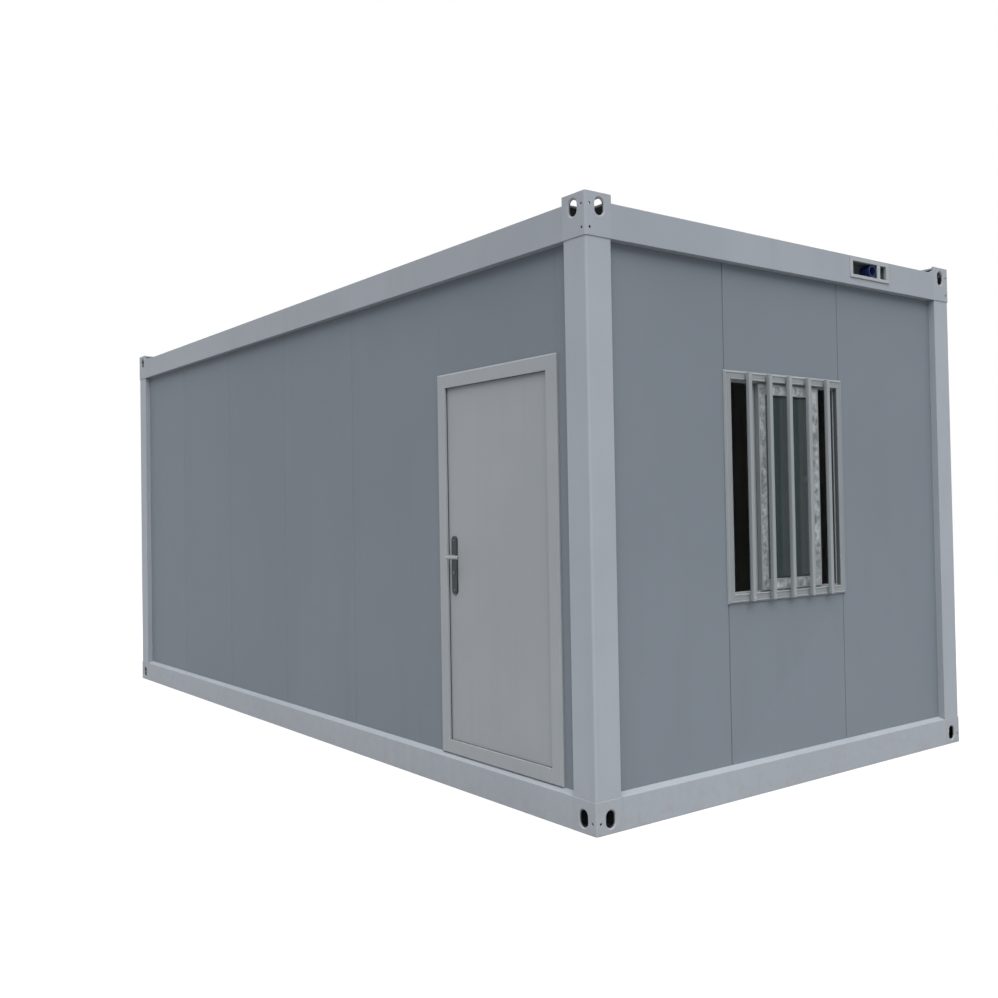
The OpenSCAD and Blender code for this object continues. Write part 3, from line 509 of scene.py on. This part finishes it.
def plyFloor():  # sheets of plywood with long grain and dark joints
    material, tree, shader = startMaterial("plyFloor")
    where = whereOf(tree)
    split = addNode(tree, "SeparateXYZ", {0: where})
    grain = noiseOf(tree, stretchOf(tree, where, *plyLook["grain"]), *plyLook["grainNoise"])
    flame = noiseOf(tree, stretchOf(tree, where, *plyLook["flame"]), *plyLook["flameNoise"])
    fine = mathOf(tree, "MULTIPLY", grain, plyLook["grainShare"])
    tone = mathOf(tree, "ADD", fine, mathOf(tree, "MULTIPLY", flame, plyLook["flameShare"]))
    tone = rampOf(tree, tone, *plyLook["toneRange"])
    base = mixOf(tree, tone, paint(*plyLook["dark"]), paint(*plyLook["light"]))
    cell = mathOf(tree, "PINGPONG", split.outputs[0], plyLook["sheet"] / 2)
    joint = rampOf(tree, cell, plyLook["joint"] * 2, plyLook["joint"])
    dust = place(tree, groundDust, Splash=plyLook["splash"], Settle=plyLook["settle"])
    base = mixOf(tree, joint, base, paint(*plyLook["jointColour"]))
    base = mixOf(tree, mathOf(tree, "MULTIPLY", dust["Mask"], plyLook["dust"]), base, soil)
    tree.links.new(base, shader.inputs["Base Color"])
    rough = rampOf(tree, grain, *plyLook["roughRange"], *plyLook["rough"])
    tree.links.new(rough, shader.inputs["Roughness"])
    edges = place(tree, softEdge, Width=plyLook["edge"])
    height = mathOf(tree, "SUBTRACT", grain, joint)
    finishNormal(tree, shader, height, plyLook["bump"], plyLook["depth"], edges["Normal"])
    return material


glassLook = {
    "deep": (120, 136, 140), "pale": (130, 144, 147), "bend": 1.22, "clear": 0.85, "grain": 60.0,
    "cloud": 2.4, "streakSpacing": 16.0, "film": 0.05, "rough": 0.02,
}


def clearGlass():  # tinted float glass with a thin film of dust
    material, tree, shader = startMaterial("clearGlass")
    skin = place(tree, paintSkin, Grain=glassLook["grain"], Cloud=glassLook["cloud"])
    streaks = place(tree, rainStreaks, Spacing=glassLook["streakSpacing"])
    marks = mathOf(tree, "ADD", skin["Cloud"], streaks["Mask"])
    film = mathOf(tree, "MULTIPLY", marks, glassLook["film"])
    tree.links.new(mathOf(tree, "ADD", film, glassLook["rough"]), shader.inputs["Roughness"])
    tint = mixOf(tree, skin["Cloud"], paint(*glassLook["deep"]), paint(*glassLook["pale"]))
    tree.links.new(tint, shader.inputs["Base Color"])
    shader.inputs["Transmission Weight"].default_value = glassLook["clear"]
    shader.inputs["IOR"].default_value = glassLook["bend"]
    return material


wrinkles = {
    "stretch": (70.0, 70.0, 22.0), "noise": (1.0, 5.0, 0.6), "grain": 300.0, "range": (0.3, 0.7),
    "rough": (0.2, 0.42), "edge": 0.0005, "depth": 0.0015,
}


def filmPlastic(name, look):  # wrinkled plastic
    material, tree, shader = startMaterial(name)
    stretched = stretchOf(tree, whereOf(tree), *wrinkles["stretch"])
    crease = noiseOf(tree, stretched, *wrinkles["noise"])
    cloud = place(tree, paintSkin, Grain=wrinkles["grain"], Cloud=look["blotch"])["Cloud"]
    tone = mixOf(tree, cloud, paint(*look["dark"]), paint(*look["light"]))
    tree.links.new(tone, shader.inputs["Base Color"])
    rough = rampOf(tree, crease, *wrinkles["range"], *wrinkles["rough"])
    tree.links.new(rough, shader.inputs["Roughness"])
    shader.inputs["Specular IOR Level"].default_value = look["specular"]
    edges = place(tree, softEdge, Width=wrinkles["edge"])
    finishNormal(tree, shader, crease, look["crease"], wrinkles["depth"], edges["Normal"])
    return material


stripFilm = filmPlastic("stripFilm", {
    "dark": (100, 105, 108), "light": (168, 173, 176), "specular": 0.3, "crease": 0.4, "blotch": 24.0,
})
latchPlastic = filmPlastic("latchPlastic", {
    "dark": (178, 184, 187), "light": (196, 201, 203), "specular": 0.4, "crease": 0.1, "blotch": 9.0,
})

finishes = {
    "base_corner": castingPaint, "roof_corner": castingPaint, "corner_post": framePaint,
    "base_beam": framePaint, "roof_beam": roofBeamPaint, "front_wall": panelPaint,
    "back_wall": panelPaint, "left_wall": panelPaint, "right_wall": bayPaint,
    "door_side_panel": panelPaint, "door_head_panel": panelPaint, "window_sill_panel": bayPaint,
    "window_head_panel": bayPaint, "floor_joists": joistZinc, "roof_purlins": joistZinc,
    "roof_sheet": roofZinc, "floor_board": plyFloor(), "ceiling": ceilingWhite,
    "door_frame": doorFramePaint, "door_leaf": leafPaint,
    "hinge": hingeSteel, "door_handle_plates": handleBlack, "door_lever": leverSatin,
    "window_frame": windowWhite, "window_sashes": sashWhite, "window_glass": clearGlass(),
    "power_inlet_box": inletBezel, "power_inlet_socket": socketBlue,
}


def dressNodes():
    for name, node in nodes.items():
        kind = next(k for k in finishes if name.startswith(k))
        for held in node.material_slots:
            held.material = finishes[kind]
    print("finishes on the frame:", len(finishes))


dressNodes()


# mesh helpers: shapes are drawn in a wall's frame and then carried to the wall
sharpFrom = math.radians(38)  # edges that turn more than this stay sharp


def newPiece(name, bm, material, body, wall):
    bm.transform(wall)
    bmesh.ops.recalc_face_normals(bm, faces=bm.faces)
    mesh = bpy.data.meshes.new(name)
    bm.to_mesh(mesh)
    bm.free()
    mesh.shade_smooth()
    mesh.set_sharp_from_angle(angle=sharpFrom)
    mesh.materials.append(material)
    piece = bpy.data.objects.new(name, mesh)
    bpy.context.scene.collection.objects.link(piece)
    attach(piece, body)
    print("piece:", name, len(mesh.polygons), "faces")


def joinRings(bm, rings, closed=False):
    made = [[bm.verts.new(p) for p in ring] for ring in rings]
    pairs = list(zip(made, made[1:])) + ([(made[-1], made[0])] if closed else [])
    for a, b in pairs:
        for i in range(len(a)):
            j = (i + 1) % len(a)
            bm.faces.new((a[i], a[j], b[j], b[i]))
    if not closed:
        bm.faces.new(made[0])
        bm.faces.new(made[-1])


def roundRect(width, height, radius, steps=3):
    points = []
    for turn, (sx, sy) in enumerate(((1, 1), (-1, 1), (-1, -1), (1, -1))):
        cx, cy = sx * (width / 2 - radius), sy * (height / 2 - radius)
        for i in range(steps + 1):
            a = math.radians(90 * turn + 90 * i / steps)
            points.append((cx + radius * math.cos(a), cy + radius * math.sin(a)))
    return points


def upright(bm, s, depth, low, high, size, radius, tip=0.0015):  # rounded bar, its ends softened
    outer = roundRect(size[0], size[1], radius)
    inner = roundRect(size[0] - 2 * tip, size[1] - 2 * tip, max(radius - tip, tip / 2))
    levels = ((inner, low), (outer, low + tip), (outer, high - tip), (inner, high))
    joinRings(bm, [[Vector((s + x, depth + y, z)) for x, y in ring] for ring, z in levels])


def softBlock(bm, low, high, radius, tip=0.001):  # block with rounded edges along the depth
    outer = roundRect(high[0] - low[0], high[2] - low[2], radius)
    inner = roundRect(high[0] - low[0] - 2 * tip, high[2] - low[2] - 2 * tip, max(radius - tip, tip / 2))
    cs, cz = (low[0] + high[0]) / 2, (low[2] + high[2]) / 2
    levels = ((inner, low[1]), (outer, low[1] + tip), (outer, high[1] - tip), (inner, high[1]))
    joinRings(bm, [[Vector((cs + x, d, cz + z)) for x, z in ring] for ring, d in levels])


def sweepFrame(bm, low, high, profile):  # profile points: distance in from the edge, and depth
    rings = []
    for s, z, ds, dz in ((low[0], low[1], 1, 1), (high[0], low[1], -1, 1),
                         (high[0], high[1], -1, -1), (low[0], high[1], 1, -1)):
        rings.append([Vector((s + ds * p[0], p[1], z + dz * p[0])) for p in profile])
    joinRings(bm, rings, closed=True)


def facing(point, normal):
    turn = Vector(normal).to_track_quat("Z", "Y").to_matrix().to_4x4()
    return Matrix.Translation(point) @ turn


def lathe(bm, profile, at, steps=24):  # profile points: radius and height
    rings = []
    for radius, height in profile:
        ring = []
        for i in range(steps):
            a = 2 * math.pi * i / steps
            ring.append(at @ Vector((radius * math.cos(a), radius * math.sin(a), height)))
        rings.append(ring)
    joinRings(bm, rings)


def crossReach(angle, width, reach):  # outline of a cross recess
    off = abs((math.degrees(angle) + 45) % 90 - 45)
    if math.tan(math.radians(off)) <= width / reach:
        return reach / math.cos(math.radians(off))
    return width / math.sin(math.radians(off))


screwHead = {  # shares of the screw's radius, and of the head's height in shape and recess
    "steps": 24, "height": 0.55, "shape": ((1.0, 0.0), (1.0, 0.3), (0.9, 0.72), (0.72, 1.0)),
    "recess": (1.0, 0.35), "crossWidth": 0.16, "crossReach": 0.52,
}


def screw(bm, at, radius, turn):  # pan head with a cross recess
    steps = screwHead["steps"]
    height = radius * screwHead["height"]
    rings = []
    for share, up in screwHead["shape"]:
        angles = [2 * math.pi * i / steps + turn for i in range(steps)]
        r = radius * share
        rings.append([at @ Vector((r * math.cos(a), r * math.sin(a), height * up)) for a in angles])
    for up in screwHead["recess"]:
        ring = []
        for i in range(steps):
            a = 2 * math.pi * i / steps
            r = crossReach(a, radius * screwHead["crossWidth"], radius * screwHead["crossReach"])
            ring.append(at @ Vector((r * math.cos(a + turn), r * math.sin(a + turn), height * up)))
        rings.append(ring)
    joinRings(bm, rings)


rand = random.Random(7)

# window
windowFrame = wallBox("window_frame", endWall)
sashMiddle = sum(p.y for p in wallBox("window_sashes", endWall)) / 2
outerSash = wallBox("window_sashes", endWall, lambda p: p.y < sashMiddle)
innerSash = wallBox("window_sashes", endWall, lambda p: p.y > sashMiddle)
outerPane = wallBox("window_glass", endWall, lambda p: p.y < sashMiddle)
innerPane = wallBox("window_glass", endWall, lambda p: p.y > sashMiddle)

bars = {
    "count": 5, "size": (0.024, 0.024), "pitch": 0.162, "centre": 1.4336, "corner": 0.0035,
    "depth": 0.010, "endGap": 0.008, "foot": 0.034, "footWide": 0.018, "footIn": 0.004,
    "footSink": 0.002, "footRound": 0.003, "screw": 0.0042,
}


def windowBars():
    low, high = windowFrame[0].z + bars["endGap"], windowFrame[1].z - bars["endGap"]
    face = windowFrame[0].y
    tubes, screws = bmesh.new(), bmesh.new()
    half = bars["size"][1] / 2
    for i in range(bars["count"]):
        s = bars["centre"] + (i - (bars["count"] - 1) / 2) * bars["pitch"]
        upright(tubes, s, bars["depth"], low, high, bars["size"], bars["corner"])
        for z in (low + bars["foot"] / 2, high - bars["foot"] / 2):  # spacer foot on the rail
            foot, wide = bars["foot"] / 2 - bars["footIn"], bars["footWide"] / 2
            near = bars["depth"] + half - bars["footSink"]
            softBlock(tubes, (s - wide, near, z - foot), (s + wide, face, z + foot), bars["footRound"])
            at = facing(Vector((s, bars["depth"] - half, z)), outward)
            screw(screws, at, bars["screw"], rand.random())
    newPiece("windowBars", tubes, barWhite, "cabin", endWall)
    newPiece("windowBarScrews", screws, screwZinc, "cabin", endWall)


bead = {"outer": (0.0075, 0.0145), "inner": (0.039, 0.0455), "proud": 0.002, "soft": 0.0015}


def frameBeads():  # raised lips along the frame's outer edge and round its opening
    bm = bmesh.new()
    face = windowFrame[0].y
    low, high = (windowFrame[0].x, windowFrame[0].z), (windowFrame[1].x, windowFrame[1].z)
    for start, end in (bead["outer"], bead["inner"]):
        top, soft = face - bead["proud"], bead["soft"]
        sweepFrame(bm, low, high, [(start, face), (start + soft, top), (end - soft, top), (end, face)])
    newPiece("frameBeads", bm, barWhite, "cabin", endWall)


seal = {"width": 0.007, "proud": 0.0025, "play": 0.0003, "lip": 0.85, "crown": 0.3}


def glassSeals():  # wedge seals on both faces of each pane
    bm = bmesh.new()
    width, play = seal["width"], seal["play"]
    lip, crown = width * seal["lip"], width * seal["crown"]
    for pane in (outerPane, innerPane):
        low = (pane[0].x - play, pane[0].z - play)
        high = (pane[1].x + play, pane[1].z + play)
        for glass, way in ((pane[0].y, -1), (pane[1].y, 1)):
            near, far = glass + way * seal["proud"], glass + way * seal["proud"] * 2
            profile = [(0.0, glass), (width, glass), (lip, near), (crown, far), (0.0, far)]
            sweepFrame(bm, low, high, profile)
    newPiece("glassSeals", bm, sealRubber, "cabin", endWall)


pile = {
    "thick": 0.003, "depths": ((0.002, 0.0225), (0.0295, 0.0505)), "face": 0.046, "track": 0.009,
    "round": 0.4, "tip": 0.0006,
}


def weatherPile():  # brush strips on the jambs, before and between the tracks, deep enough to cover most of each reveal; their dark grey is partly painted shade of the reveals
    bm = bmesh.new()
    front = windowFrame[0].y
    low, high = (windowFrame[i].z + way * (pile["face"] + pile["track"]) for i, way in ((0, 1), (1, -1)))
    for jamb, way in ((windowFrame[0].x + pile["face"], 1), (windowFrame[1].x - pile["face"], -1)):
        for near, far in pile["depths"]:
            s, thick = jamb + way * pile["thick"] / 2, pile["thick"]
            middle = front + (near + far) / 2
            upright(bm, s, middle, low, high, (thick, far - near), thick * pile["round"], pile["tip"])
    newPiece("weatherPile", bm, pileAndRevealShade, "cabin", endWall)


filmStrip = {
    "width": 0.042, "inset": 0.009, "thick": 0.0004, "step": 0.012, "ragged": 0.0025, "end": 0.02,
    "corner": 0.075,
}


def stripPoints(start, end, across, spec):  # ragged strip between two points
    length = (end - start).length
    along = (end - start).normalized()
    count = max(2, round(length / spec["step"]))
    edges = []
    for i in range(count + 1):
        p = start + along * (length * i / count)
        halves = [side * spec["width"] / 2 + rand.uniform(-1, 1) * spec["ragged"] for side in (-1, 1)]
        edges.append([p + across * half for half in halves])
    return edges


def sashFilm():
    bm = bmesh.new()
    face = outerSash[0].y
    half = filmStrip["inset"] + filmStrip["width"] / 2
    (left, _, low), (right, _, high) = outerSash
    end, corner = filmStrip["end"], filmStrip["corner"]
    runs = [((s, low + end), (s, high - end), (1, 0, 0)) for s in (left + half, right - half)]
    runs += [((left + corner, z), (right - corner, z), (0, 0, 1)) for z in (low + half, high - half)]
    for start, stop, across in runs:
        points = [Vector((p[0], face, p[1])) for p in (start, stop)]
        strip = stripPoints(*points, Vector(across), filmStrip)
        rings = []
        for a, c in strip:
            lift = outward * filmStrip["thick"]
            rings.append([a, a + lift, c + lift, c])
        joinRings(bm, rings)
    newPiece("sashFilm", bm, stripFilm, "cabin", endWall)


latch = {
    "height": 1.598, "past": 0.034, "size": (0.036, 0.009, 0.034), "round": 0.006,
    "thumb": (0.012, 0.003, 0.020), "thumbRound": 0.005,
}


def sashLatch():  # catch on the inner sash's stile, in the recess before its pane
    bm = bmesh.new()
    (w, d, h), (tw, td, th) = latch["size"], latch["thumb"]
    z = latch["height"]
    right = innerPane[1].x + latch["past"] - w / 2
    front = innerSash[0].y - td
    face, s = front + td, right - w / 2
    softBlock(bm, (right - w, face, z - h / 2), (right, face + d, z + h / 2), latch["round"])
    softBlock(bm, (s - tw / 2, front, z - th / 2), (s + tw / 2, face, z + th / 2), latch["thumbRound"])
    newPiece("sashLatch", bm, latchPlastic, "cabin", endWall)


windowBars()
frameBeads()
glassSeals()
weatherPile()
sashFilm()
sashLatch()

# door
doorFrame = wallBox("door_frame", frontWall)
leaf = wallBox("door_leaf", frontWall)
leafMiddle = (leaf[0].y + leaf[1].y) / 2
outerPlate = wallBox("door_handle_plates", frontWall, lambda p: p.y < leafMiddle)
innerPlate = wallBox("door_handle_plates", frontWall, lambda p: p.y > leafMiddle)
leverAt = jointAt("lever_turn", frontWall)

doorSealSpec = {
    "face": 0.075, "past": 0.002, "width": 0.014, "thick": 0.004, "gap": 0.005,
    "bulb": ((0.1, 0.7), (0.5, 1.0), (0.9, 0.7)),
}


def doorSeal():  # bulb seal on the back of the lip, where the leaf closes; it reaches a little past the lip's edge so its dark rubber shows along the gap as painted shade
    bm = bmesh.new()
    lip = leaf[0].y - doorSealSpec["gap"]
    inner = doorSealSpec["face"] + doorSealSpec["past"]
    w, t = doorSealSpec["width"], doorSealSpec["thick"]
    profile = [(inner - w, lip), (inner, lip)]
    profile += [(inner - across * w, lip + up * t) for across, up in doorSealSpec["bulb"]]
    sweepFrame(bm, (doorFrame[0].x, doorFrame[0].z), (doorFrame[1].x, doorFrame[1].z), profile)
    newPiece("doorSeal", bm, sealRubber, "cabin", frontWall)


handle = {
    "screw": 0.0048, "screwIn": 0.024, "plug": 0.0075, "proud": 0.0012, "dome": 0.6, "hub": 0.3,
    "lockDown": 0.085, "keyWidth": 0.0016, "keyHigh": 0.62, "keyRound": 0.3, "keyTip": 0.0001,
    "keyLift": 0.0002, "keyDeep": 0.0006, "bevel": 0.002,
}


def handleFittings():
    screws, plugs, keywayShade = bmesh.new(), bmesh.new(), bmesh.new()
    step = handle["bevel"]
    outside = (outerPlate[0].y + step, outward, outerPlate)
    inside = (innerPlate[1].y - step, inward, innerPlate)
    for face, way, plate in (outside, inside):
        for z in (plate[0].z + handle["screwIn"], plate[1].z - handle["screwIn"]):
            screw(screws, facing(Vector((leverAt.x, face, z)), way), handle["screw"], rand.random())
        rose = Vector((leverAt.x, face + way.y * step, leverAt.z - handle["lockDown"]))
        r, h = handle["plug"], handle["proud"]
        dome = h * handle["dome"]
        lathe(plugs, ((r, -h), (r, dome), (r - dome, h), (r * handle["hub"], h)), facing(rose, way))
        # a thin dark block laid proud on each plug: painted shade of the keyway
        k, tall = handle["keyWidth"], r * handle["keyHigh"]
        front = rose + way * (h + handle["keyLift"])
        corners = (front - way * handle["keyDeep"], front)
        low = Vector((rose.x - k / 2, min(c.y for c in corners), rose.z - tall))
        high = Vector((rose.x + k / 2, max(c.y for c in corners), rose.z + tall))
        softBlock(keywayShade, low, high, k * handle["keyRound"], handle["keyTip"])
    newPiece("handleScrews", screws, darkZinc, "door", frontWall)
    newPiece("lockPlugs", plugs, darkZinc, "door", frontWall)
    newPiece("keywayShadeMarks", keywayShade, sealRubber, "door", frontWall)


lockEdge = {
    "width": 0.022, "height": 0.235, "thick": 0.0015, "flat": 0.0005, "steps": 6,
    "bolt": (0.012, 0.0026, 0.034), "dead": (0.018, 0.0016, 0.030), "boltRound": 0.002,
}


def lockFittings():  # faceplate and bolts on the leaf's edge
    plate = bmesh.new()
    z = leverAt.z - handle["lockDown"] / 2
    edge = leaf[1].x
    w, h, t = lockEdge["width"], lockEdge["height"], lockEdge["thick"]
    ring = roundRect(w, h, w / 2 - lockEdge["flat"], lockEdge["steps"])
    joinRings(plate, [[Vector((edge + d, leafMiddle + x, z + y)) for x, y in ring] for d in (0.0, t)])
    bolts = ((lockEdge["bolt"], leverAt.z), (lockEdge["dead"], leverAt.z - handle["lockDown"]))
    for (w, reach, h), up in bolts:
        ring = roundRect(w, h, lockEdge["boltRound"])
        rings = [[Vector((edge + d, leafMiddle + x, up + y)) for x, y in ring] for d in (t, reach)]
        joinRings(plate, rings)
    newPiece("lockFaceplate", plate, hingeSteel, "door", frontWall)


hingeScrew = {
    "radius": 0.0042, "spread": 0.013, "along": (0.018, 0.034), "clear": 0.02, "hingeHigh": 0.12,
    "slack": 0.001,
}


def hingeScrews():
    fixed, moving = bmesh.new(), bmesh.new()
    parts = ((fixed, "hinge_frame_halves", -1), (moving, "hinge_leaf_halves", 1))
    axis = jointAt("door_swing", frontWall)
    off, slack = hingeScrew["clear"], hingeScrew["slack"]
    for bm, name, side in parts:
        points = wallPoints(name, frontWall)
        groups = []  # heights that belong to one hinge
        for z in sorted({round(p.z, 4) for p in points}):
            if groups and z - groups[-1][-1] < hingeScrew["hingeHigh"]:
                groups[-1].append(z)
            else:
                groups.append([z])
        plateFace = wallBox(name, frontWall, lambda p: abs(p.x - axis.x) > off)[1].y
        for group in groups:
            low, high = group[0] - slack, group[-1] + slack
            plateZ = [p.z for p in points if abs(p.x - axis.x) > off and low <= p.z <= high]
            z = (min(plateZ) + max(plateZ)) / 2
            for along in hingeScrew["along"]:
                for dz in (-hingeScrew["spread"], hingeScrew["spread"]):
                    at = facing(Vector((axis.x + side * along, plateFace, z + dz)), inward)
                    screw(bm, at, hingeScrew["radius"], rand.random())
    newPiece("hingeScrewsFrame", fixed, screwZinc, "cabin", frontWall)
    newPiece("hingeScrewsLeaf", moving, screwZinc, "door", frontWall)


doorSeal()
handleFittings()
lockFittings()
hingeScrews()

# power inlet
inlet = wallBox("power_inlet_box", endWall)
socket = wallBox("power_inlet_socket", endWall)
inletSpec = {"screw": 0.0036, "screwIn": 0.011, "apart": 0.025, "lip": 0.003}
pinSpec = {
    "count": 3, "radius": 0.003, "length": 0.030, "ring": 0.013, "tip": (0.8, 0.4), "steps": 16,
    "floor": 0.005, "wall": 0.005, "key": (0.006, 0.040, 0.003), "keyRound": 0.001,
}


def inletFittings():
    screws, pins, key = bmesh.new(), bmesh.new(), bmesh.new()
    level = (inlet[0].z + inlet[1].z) / 2
    face = inlet[0].y + inletSpec["lip"]
    for s in (inlet[0].x + inletSpec["screwIn"], inlet[1].x - inletSpec["screwIn"]):
        for z in (level - inletSpec["apart"], level + inletSpec["apart"]):
            screw(screws, facing(Vector((s, face, z)), outward), inletSpec["screw"], rand.random())
    newPiece("inletScrews", screws, screwZinc, "cabin", endWall)
    middle = (socket[0] + socket[1]) / 2
    back = socket[1].y - pinSpec["floor"]
    r, tall = pinSpec["radius"], pinSpec["length"]
    count, reach, (neck, end) = pinSpec["count"], pinSpec["ring"], pinSpec["tip"]
    for i in range(count):  # pins in a ring
        a = 2 * math.pi * i / count - math.pi / 2
        at = Vector((middle.x + reach * math.cos(a), back, middle.z + reach * math.sin(a)))
        shape = ((r, 0), (r, tall - r), (r * neck, tall - r * end), (r * end, tall))
        lathe(pins, shape, facing(at, outward), pinSpec["steps"])
    newPiece("socketPins", pins, pinBrass, "cabin", endWall)
    w, tall, thick = pinSpec["key"]  # guide rib along the collar's bore
    low = socket[0].z + pinSpec["wall"]
    near = (middle.x - w / 2, back - tall, low - thick / 2)
    softBlock(key, near, (middle.x + w / 2, back, low + thick), pinSpec["keyRound"])
    newPiece("socketKey", key, socketBlue, "cabin", endWall)


inletFittings()

# studio
stageLook = {
    "size": 60.0, "drop": 0.0005, "albedo": (149, 150, 151), "pale": (0.92, 0.92, 0.92, 1),
    "shadow": 0.38, "fadeFrom": 6.0, "fadeTo": 16.0,
}


def plainRay(tree):  # camera, glossy and transmission rays see the white studio
    path = addNode(tree, "LightPath").outputs
    seen = mathOf(tree, "MAXIMUM", path["Is Camera Ray"], path["Is Glossy Ray"])
    return mathOf(tree, "MAXIMUM", seen, path["Is Transmission Ray"])


def makeFloor():
    half = stageLook["size"] / 2
    mesh = bpy.data.meshes.new("studioFloor")
    corners = [(-half, -half, 0), (half, -half, 0), (half, half, 0), (-half, half, 0)]
    mesh.from_pydata(corners, [], [(0, 1, 2, 3)])
    floor = bpy.data.objects.new("studioFloor", mesh)
    bpy.context.scene.collection.objects.link(floor)
    floor.location.z = -stageLook["drop"]
    material = bpy.data.materials.new("studioFloor")
    material.use_nodes = True
    tree = material.node_tree
    tree.nodes.clear()
    bounce = addNode(tree, "BsdfDiffuse", {"Color": paint(*stageLook["albedo"])})
    pale = addNode(tree, "BsdfDiffuse", {"Color": stageLook["pale"]})
    white = addNode(tree, "Emission", {"Color": (1, 1, 1, 1), "Strength": 1.0})
    away = addNode(tree, "VectorMath", {0: whereOf(tree)}, operation="LENGTH").outputs["Value"]
    shadow = rampOf(tree, away, stageLook["fadeFrom"], stageLook["fadeTo"], stageLook["shadow"], 0.0)
    shown = addNode(tree, "MixShader", {0: shadow, 1: white.outputs[0], 2: pale.outputs[0]})
    both = addNode(tree, "MixShader", {0: plainRay(tree), 1: bounce.outputs[0], 2: shown.outputs[0]})
    end = addNode(tree, "OutputMaterial")
    tree.links.new(both.outputs[0], end.inputs["Surface"])
    mesh.materials.append(material)


skyLook = {"zenith": 1.1, "horizon": 0.35, "rise": 0.9, "tint": (0.98, 0.99, 1.0, 1.0)}


def makeSky():
    world = bpy.data.worlds.new("studioSky")
    bpy.context.scene.world = world
    world.use_nodes = True
    tree = world.node_tree
    tree.nodes.clear()
    up = addNode(tree, "SeparateXYZ", {0: addNode(tree, "TexCoord").outputs["Generated"]}).outputs[2]
    glow = rampOf(tree, up, 0.0, skyLook["rise"], skyLook["horizon"], skyLook["zenith"])
    light = addNode(tree, "Background", {"Color": skyLook["tint"], "Strength": glow})
    white = addNode(tree, "Background", {"Color": (1, 1, 1, 1), "Strength": 1.0})
    both = addNode(tree, "MixShader", {0: plainRay(tree), 1: light.outputs[0], 2: white.outputs[0]})
    end = addNode(tree, "OutputWorld")
    tree.links.new(both.outputs[0], end.inputs["Surface"])


softSun = {"from": (0.45, -0.27, 0.85), "spread": 65.0, "power": 3.2}


def makeSun():  # one wide soft light from above the near corner
    data = bpy.data.lights.new("softSun", "SUN")
    data.angle = math.radians(softSun["spread"])
    data.energy = softSun["power"]
    made = bpy.data.objects.new("softSun", data)
    made.rotation_euler = Vector(softSun["from"]).to_track_quat("Z", "Y").to_euler()
    bpy.context.scene.collection.objects.link(made)


view = {
    "place": (6.555, -4.676, 1.463), "turn": (91.247, 0.965, 53.427), "lens": 38.206, "sensor": 36.0,
    "shift": (0.0098, -0.0124),
}


def makeCamera():
    data = bpy.data.cameras.new("photoCamera")
    data.lens = view["lens"]
    data.sensor_width = view["sensor"]
    data.shift_x, data.shift_y = view["shift"]
    camera = bpy.data.objects.new("photoCamera", data)
    camera.location = view["place"]
    camera.rotation_euler = [math.radians(a) for a in view["turn"]]
    bpy.context.scene.collection.objects.link(camera)
    bpy.context.scene.camera = camera


makeFloor()
makeSky()
makeSun()
makeCamera()
bpy.context.scene.view_settings.view_transform = "Standard"
print("studio ready")
